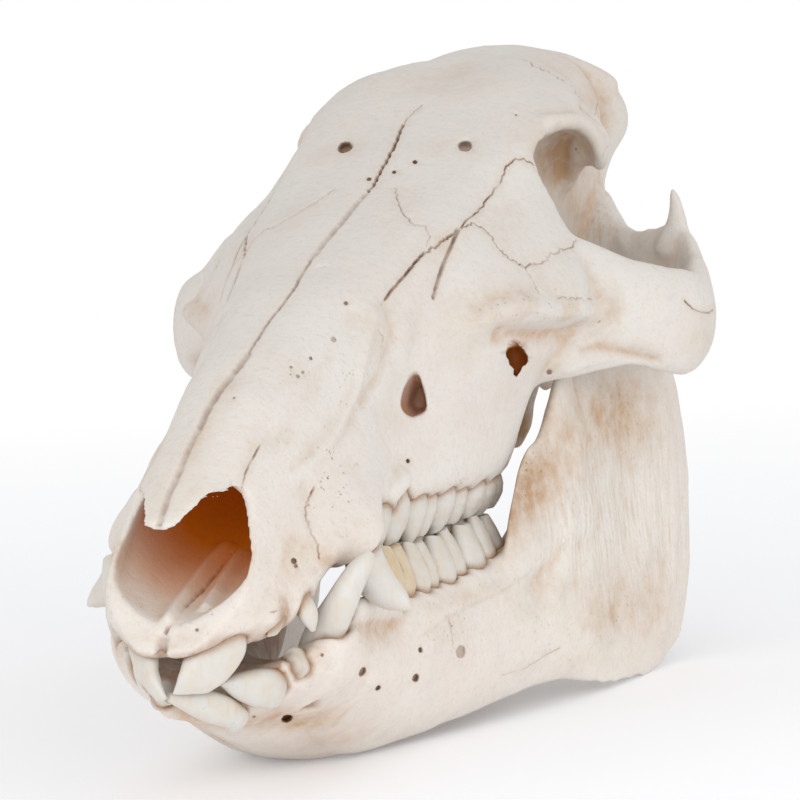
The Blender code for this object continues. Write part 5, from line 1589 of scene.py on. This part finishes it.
def make_teeth(jaw, look):
    """All teeth of one jaw, left and right."""
    upper = jaw == "upper"
    finish = bpy.data.materials.get("tooth_enamel_worn") or tooth_finish(look)
    pieces = []
    for label, rows in (UPPER_FRONT_LEFT if upper else LOWER_FRONT_LEFT).items():
        name = f"{jaw}_{label}"
        other_rows = (UPPER_FRONT_RIGHT if upper else LOWER_FRONT_RIGHT).get(label)
        other_rows = other_rows or [((-a[0], *a[1:]), (-b[0], *b[1:]), thick) for a, b, thick in rows]
        for side, own in (("left", rows), ("right", other_rows)):
            tip = standing((Vector(own[-1][0]) + Vector(own[-1][1])) / 2)
            pieces.append((edged_tooth(f"{name}_{side}_fine", own), tip, 0.1))
    line = UPPER_LINE if upper else LOWER_LINE
    neck = UPPER_NECK if upper else LOWER_NECK
    for label, place, length, width, lobes, yellow in (UPPER_CHEEK if upper else LOWER_CHEEK):
        name = f"{jaw}_{label}"
        share = SMALL_TOOTH_HEIGHT if place < SMALL_TEETH_END else 1.0
        tip_z = neck + (line_at(BITE_LINE, place) - neck) * share
        tooth = cheek_tooth(name + "_left_fine", line, place, length, width, lobes, neck, tip_z)
        other = mirror_twin(tooth, name + "_right_fine")
        tip = standing((line_at(line, place) - width / 2, place, tip_z))
        pieces += [(tooth, tip, yellow), (other, Vector((-tip.x, tip.y, tip.z)), yellow)]
    for piece, tip, yellow in pieces:
        finish_tooth(piece, tip, yellow, finish)


class BoneSettings(bpy.types.PropertyGroup):
    ivory: colour_property("Ivory", "Main colour of the bone", "#E7E2DA")
    warm: colour_property("Warm", "Pinkish areas of the bone", "#E5DBD2")
    cool: colour_property("Cool", "Greyish areas of the bone", "#D8D6D2")
    # Grey painted over the skull's top as shade.
    top_shade: colour_property("Dust", "Grey of the handled top of the skull", "#D0CDC8")
    # The tan also paints the shade that is laid with the stains.
    tan: colour_property("Tan", "Soaked-in stain and fibres", "#C2A180")
    # The brown also paints the shade inside the mouth.
    brown: colour_property("Brown", "Dirt in pores and round teeth", "#9A6B3C")
    crack: colour_property("Crack", "Inside of cracks and holes", "#7C4F2B")
    pink: colour_property("Pink", "Bone just inside the nose", "#E6C9B1")
    grease: colour_property("Grease", "Deep lining of the nose", "#C96F12")
    marrow: colour_property("Marrow", "Inside of broken bone and nerve holes", "#A45E20")
    # How strongly the painted shade greys the skull's top.
    top_shade_share: FloatProperty(name="Dust share", description="How much dust greys the top of the skull",
                              default=0.6, min=0.0, max=1.0)
    glow: FloatProperty(name="Glow", description="Light that comes through the thin walls of the nose",
                        default=0.1, min=0.0, max=1.0)
    grid: FloatProperty(name="Grid", description="Step of the bone's surface before its cracks",
                        default=0.95 * MM, min=0.0005, max=0.004, unit="LENGTH")
    soften_steps: IntProperty(name="Soften", description="Rounds of smoothing of the grown bone", default=9,
                              min=0, max=40)
    cranium_triangles: IntProperty(name="Cranium faces", description="Triangles of the finished cranium",
                                   default=190000, min=20000, max=195000)
    jaw_triangles: IntProperty(name="Jaw faces", description="Triangles of the finished lower jaw",
                               default=130000, min=10000, max=195000)


class ToothSettings(bpy.types.PropertyGroup):
    enamel: colour_property("Enamel", "White of the crowns", "#D4D2CE")
    cream: colour_property("Cream", "Creamy areas and worn ends", "#D3CBBD")
    dentine: colour_property("Dentine", "Yellow where enamel is thin", "#CFAE74")
    # The tartar's brown also paints shade in the crown's grooves.
    tartar: colour_property("Tartar", "Brown line at the neck", "#9A7148")


class StageSettings(bpy.types.PropertyGroup):
    floor: colour_property("Floor", "Colour of the floor", "#F8F9FC")
    key_power: FloatProperty(name="Key light", description="Power of the large soft light", default=3.9,
                             min=0.0, subtype="POWER", unit="POWER")
    sky: FloatProperty(name="Sky", description="Strength of the white room's light", default=0.8, min=0.0,
                       max=3.0)


class SKULL_OT_cranium(bpy.types.Operator):
    """Build the cranium with its sutures, holes and open nose"""

    bl_idname = "skull.cranium"
    bl_label = "Cranium"

    def execute(self, context):
        look = context.scene.skull_bone
        forms = [section_loft("face", FACE), section_loft("braincase", BRAINCASE)]
        forms.append(limb_loft("brow rim", BROW_RIM))
        forms += both_sides([("arch", ARCH), ("arch spike", ARCH_SPIKE), ("nuchal crest", NUCHAL_CREST),
                             ("brow horn", BROW_HORN), ("brow plate", BROW_PLATE), ("pterygoid", PTERYGOID),
                             ("bulla", BULLA), ("side process", SIDE_PROCESS), ("condyle", CONDYLE)])
        whole = join_shapes("cranium_bone", forms)
        uncut = Relief(whole)
        nose = section_loft("nose hollow", NOSE_HOLLOW)
        nose_tree = tree_of(nose)
        nerve = sight_cutter("nerve hole", uncut, NERVE_HOLE, *NERVE_CUT)
        broken = sight_cutter("broken hole", uncut, BROKEN_HOLE, *BROKEN_CUT)
        cutters = [nose, nose_mouth(), limb_loft("throat", THROAT), limb_loft("brain", BRAIN), nerve,
                   mirror_twin(nerve, "nerve twin")]
        cutters += both_sides([("orbit", ORBIT), ("orbit pocket", ORBIT_POCKET)])
        holes = [(walls_of(broken), BROKEN_TONE), (walls_of(nerve), NERVE_TONE)]
        bone = grow_bone(whole, cutters, look.grid / MM, look.soften_steps)
        push_out(bone, CRANIUM_PUSHES)
        cut_away(bone, [broken])
        apply_modifiers(bone)
        remove([broken])

        def mark_openings(relief):
            mark_palate(relief)
            mark_nose(relief, nose_tree)
            for walls, strength in holes:
                mark_walls(relief, uncut, walls, strength)

        detail_bone("upper", bone, look, look.cranium_triangles, mark_openings)
        return {"FINISHED"}


class SKULL_OT_lower_jaw(bpy.types.Operator):
    """Build the lower jaw with its nerve holes, cut flat where it rests"""

    bl_idname = "skull.lower_jaw"
    bl_label = "Lower jaw"

    def execute(self, context):
        look = context.scene.skull_bone
        forms = [section_loft("chin", CHIN)]
        for name, sections in (("branch", JAW_BRANCH), ("blade", BLADE_FRONT)):
            side = section_loft(name, sections, whole=False)
            forms += [side, mirror_twin(side, name + "_twin")]
        forms += both_sides([("joint", JAW_JOINT), ("tooth ridge", TOOTH_RIDGE)])
        block = bmesh.new()
        bmesh.ops.create_cube(block, size=1.0)
        bmesh.ops.scale(block, vec=REST_BLOCK, verts=block.verts)
        bmesh.ops.translate(block, vec=(0.0, 0.0, -REST_BLOCK[2] / 2), verts=block.verts)
        floor = from_bmesh("resting plane", block)
        bone = grow_bone(join_shapes("lower_jaw_bone", forms), [floor], look.grid / MM, look.soften_steps)
        push_out(bone, JAW_PUSHES)
        detail_bone("lower", bone, look, look.jaw_triangles, mark_jaw_inside)
        return {"FINISHED"}


class SKULL_OT_upper_teeth(bpy.types.Operator):
    """Build the upper incisors, canines and cheek teeth"""

    bl_idname = "skull.upper_teeth"
    bl_label = "Upper teeth"

    def execute(self, context):
        make_teeth("upper", context.scene.skull_tooth)
        return {"FINISHED"}


class SKULL_OT_lower_teeth(bpy.types.Operator):
    """Build the lower incisors, canines and cheek teeth"""

    bl_idname = "skull.lower_teeth"
    bl_label = "Lower teeth"

    def execute(self, context):
        make_teeth("lower", context.scene.skull_tooth)
        return {"FINISHED"}


class SKULL_OT_stage(bpy.types.Operator):
    """Lay the pale floor, and set the soft light and the camera"""

    bl_idname = "skull.stage"
    bl_label = "Stage"

    def execute(self, context):
        look = context.scene.skull_stage
        scene = context.scene
        mesh = bmesh.new()
        bmesh.ops.create_circle(mesh, cap_ends=True, radius=FLOOR_RADIUS, segments=96)
        floor = from_bmesh("floor", mesh)
        finish, tree, shader = new_material("paper_floor_matt")
        place = tree.nodes.new("ShaderNodeTexCoord").outputs["Object"]
        reach = add_node(tree, "ShaderNodeVectorMath", {0: place}, operation="LENGTH")
        feeds = {"Value": reach.outputs["Value"], "From Min": FLOOR_FADE[0], "From Max": FLOOR_FADE[1],
                 "To Min": 1.0, "To Max": 0.0}
        fade = add_node(tree, "ShaderNodeMapRange", feeds)
        tree.links.new(fade.outputs[0], shader.inputs["Alpha"])
        shader.inputs["Base Color"].default_value = (*look.floor, 1)
        shader.inputs["Roughness"].default_value = 0.9
        shader.inputs["Specular IOR Level"].default_value = 0.0
        shader.inputs["Emission Color"].default_value = (1, 1, 1, 1)
        shader.inputs["Emission Strength"].default_value = FLOOR_GLOW
        floor.data.materials.append(finish)

        world = bpy.data.worlds.new("white room")
        scene.world = world
        world.use_nodes = True
        sky = world.node_tree
        sky.nodes.clear()
        seen = add_node(sky, "ShaderNodeBackground", {"Color": (1, 1, 1, 1), "Strength": 1.0})
        light = add_node(sky, "ShaderNodeBackground", {"Color": (1, 1, 1, 1), "Strength": look.sky})
        path = sky.nodes.new("ShaderNodeLightPath")
        both = add_node(sky, "ShaderNodeMixShader", {0: path.outputs["Is Camera Ray"], 1: light.outputs[0],
                                                     2: seen.outputs[0]})
        add_node(sky, "ShaderNodeOutputWorld", {"Surface": both.outputs[0]})

        right, up, back, eye = camera_axes()
        for name, share, size, aside, above, nearer in LIGHTS:
            lamp = bpy.data.lights.new(name, "AREA")
            lamp.energy = look.key_power * share
            lamp.size = size
            holder = bpy.data.objects.new(name, lamp)
            scene.collection.objects.link(holder)
            place = right * aside + Vector((0, 0, above)) + back * nearer
            aim = (place - LIGHT_AIM).to_track_quat("Z", "Y").to_matrix().to_4x4()
            aim.translation = place
            holder.matrix_world = aim

        camera = bpy.data.cameras.new("camera")
        camera.sensor_width = SENSOR
        camera.lens = FOCAL_PIXELS / (2 * IMAGE_MIDDLE) * SENSOR
        camera.clip_start = 0.05
        camera.clip_end = 30.0
        holder = bpy.data.objects.new("camera", camera)
        scene.collection.objects.link(holder)
        stand = Matrix((right, up, back)).transposed().to_4x4()
        stand.translation = eye * MM
        holder.matrix_world = stand
        scene.camera = holder
        scene.view_settings.view_transform = "Standard"
        return {"FINISHED"}


class SKULL_PT_panel(bpy.types.Panel):
    bl_label = "Bush pig skull"
    bl_idname = "SKULL_PT_panel"
    bl_space_type = "VIEW_3D"
    bl_region_type = "UI"
    bl_category = "Skull"

    def draw(self, context):
        for settings in (context.scene.skull_bone, context.scene.skull_tooth, context.scene.skull_stage):
            column = self.layout.column(align=True)
            for name in settings.__annotations__:
                column.prop(settings, name)
        for operator in OPERATORS:
            self.layout.operator(operator.bl_idname)


OPERATORS = (SKULL_OT_upper_teeth, SKULL_OT_lower_teeth, SKULL_OT_cranium, SKULL_OT_lower_jaw,
             SKULL_OT_stage)
SETTINGS = {"skull_bone": BoneSettings, "skull_tooth": ToothSettings, "skull_stage": StageSettings}


def register():
    for cls in (*SETTINGS.values(), *OPERATORS, SKULL_PT_panel):
        bpy.utils.register_class(cls)
    for name, group in SETTINGS.items():
        setattr(bpy.types.Scene, name, PointerProperty(type=group))


def unregister():
    for name in SETTINGS:
        delattr(bpy.types.Scene, name)
    for cls in reversed((*SETTINGS.values(), *OPERATORS, SKULL_PT_panel)):
        bpy.utils.unregister_class(cls)


def main():
    register()
    bpy.ops.skull.upper_teeth()
    bpy.ops.skull.lower_teeth()
    bpy.ops.skull.cranium()
    bpy.ops.skull.lower_jaw()
    bpy.ops.skull.stage()


if __name__ == "__main__":
    main()
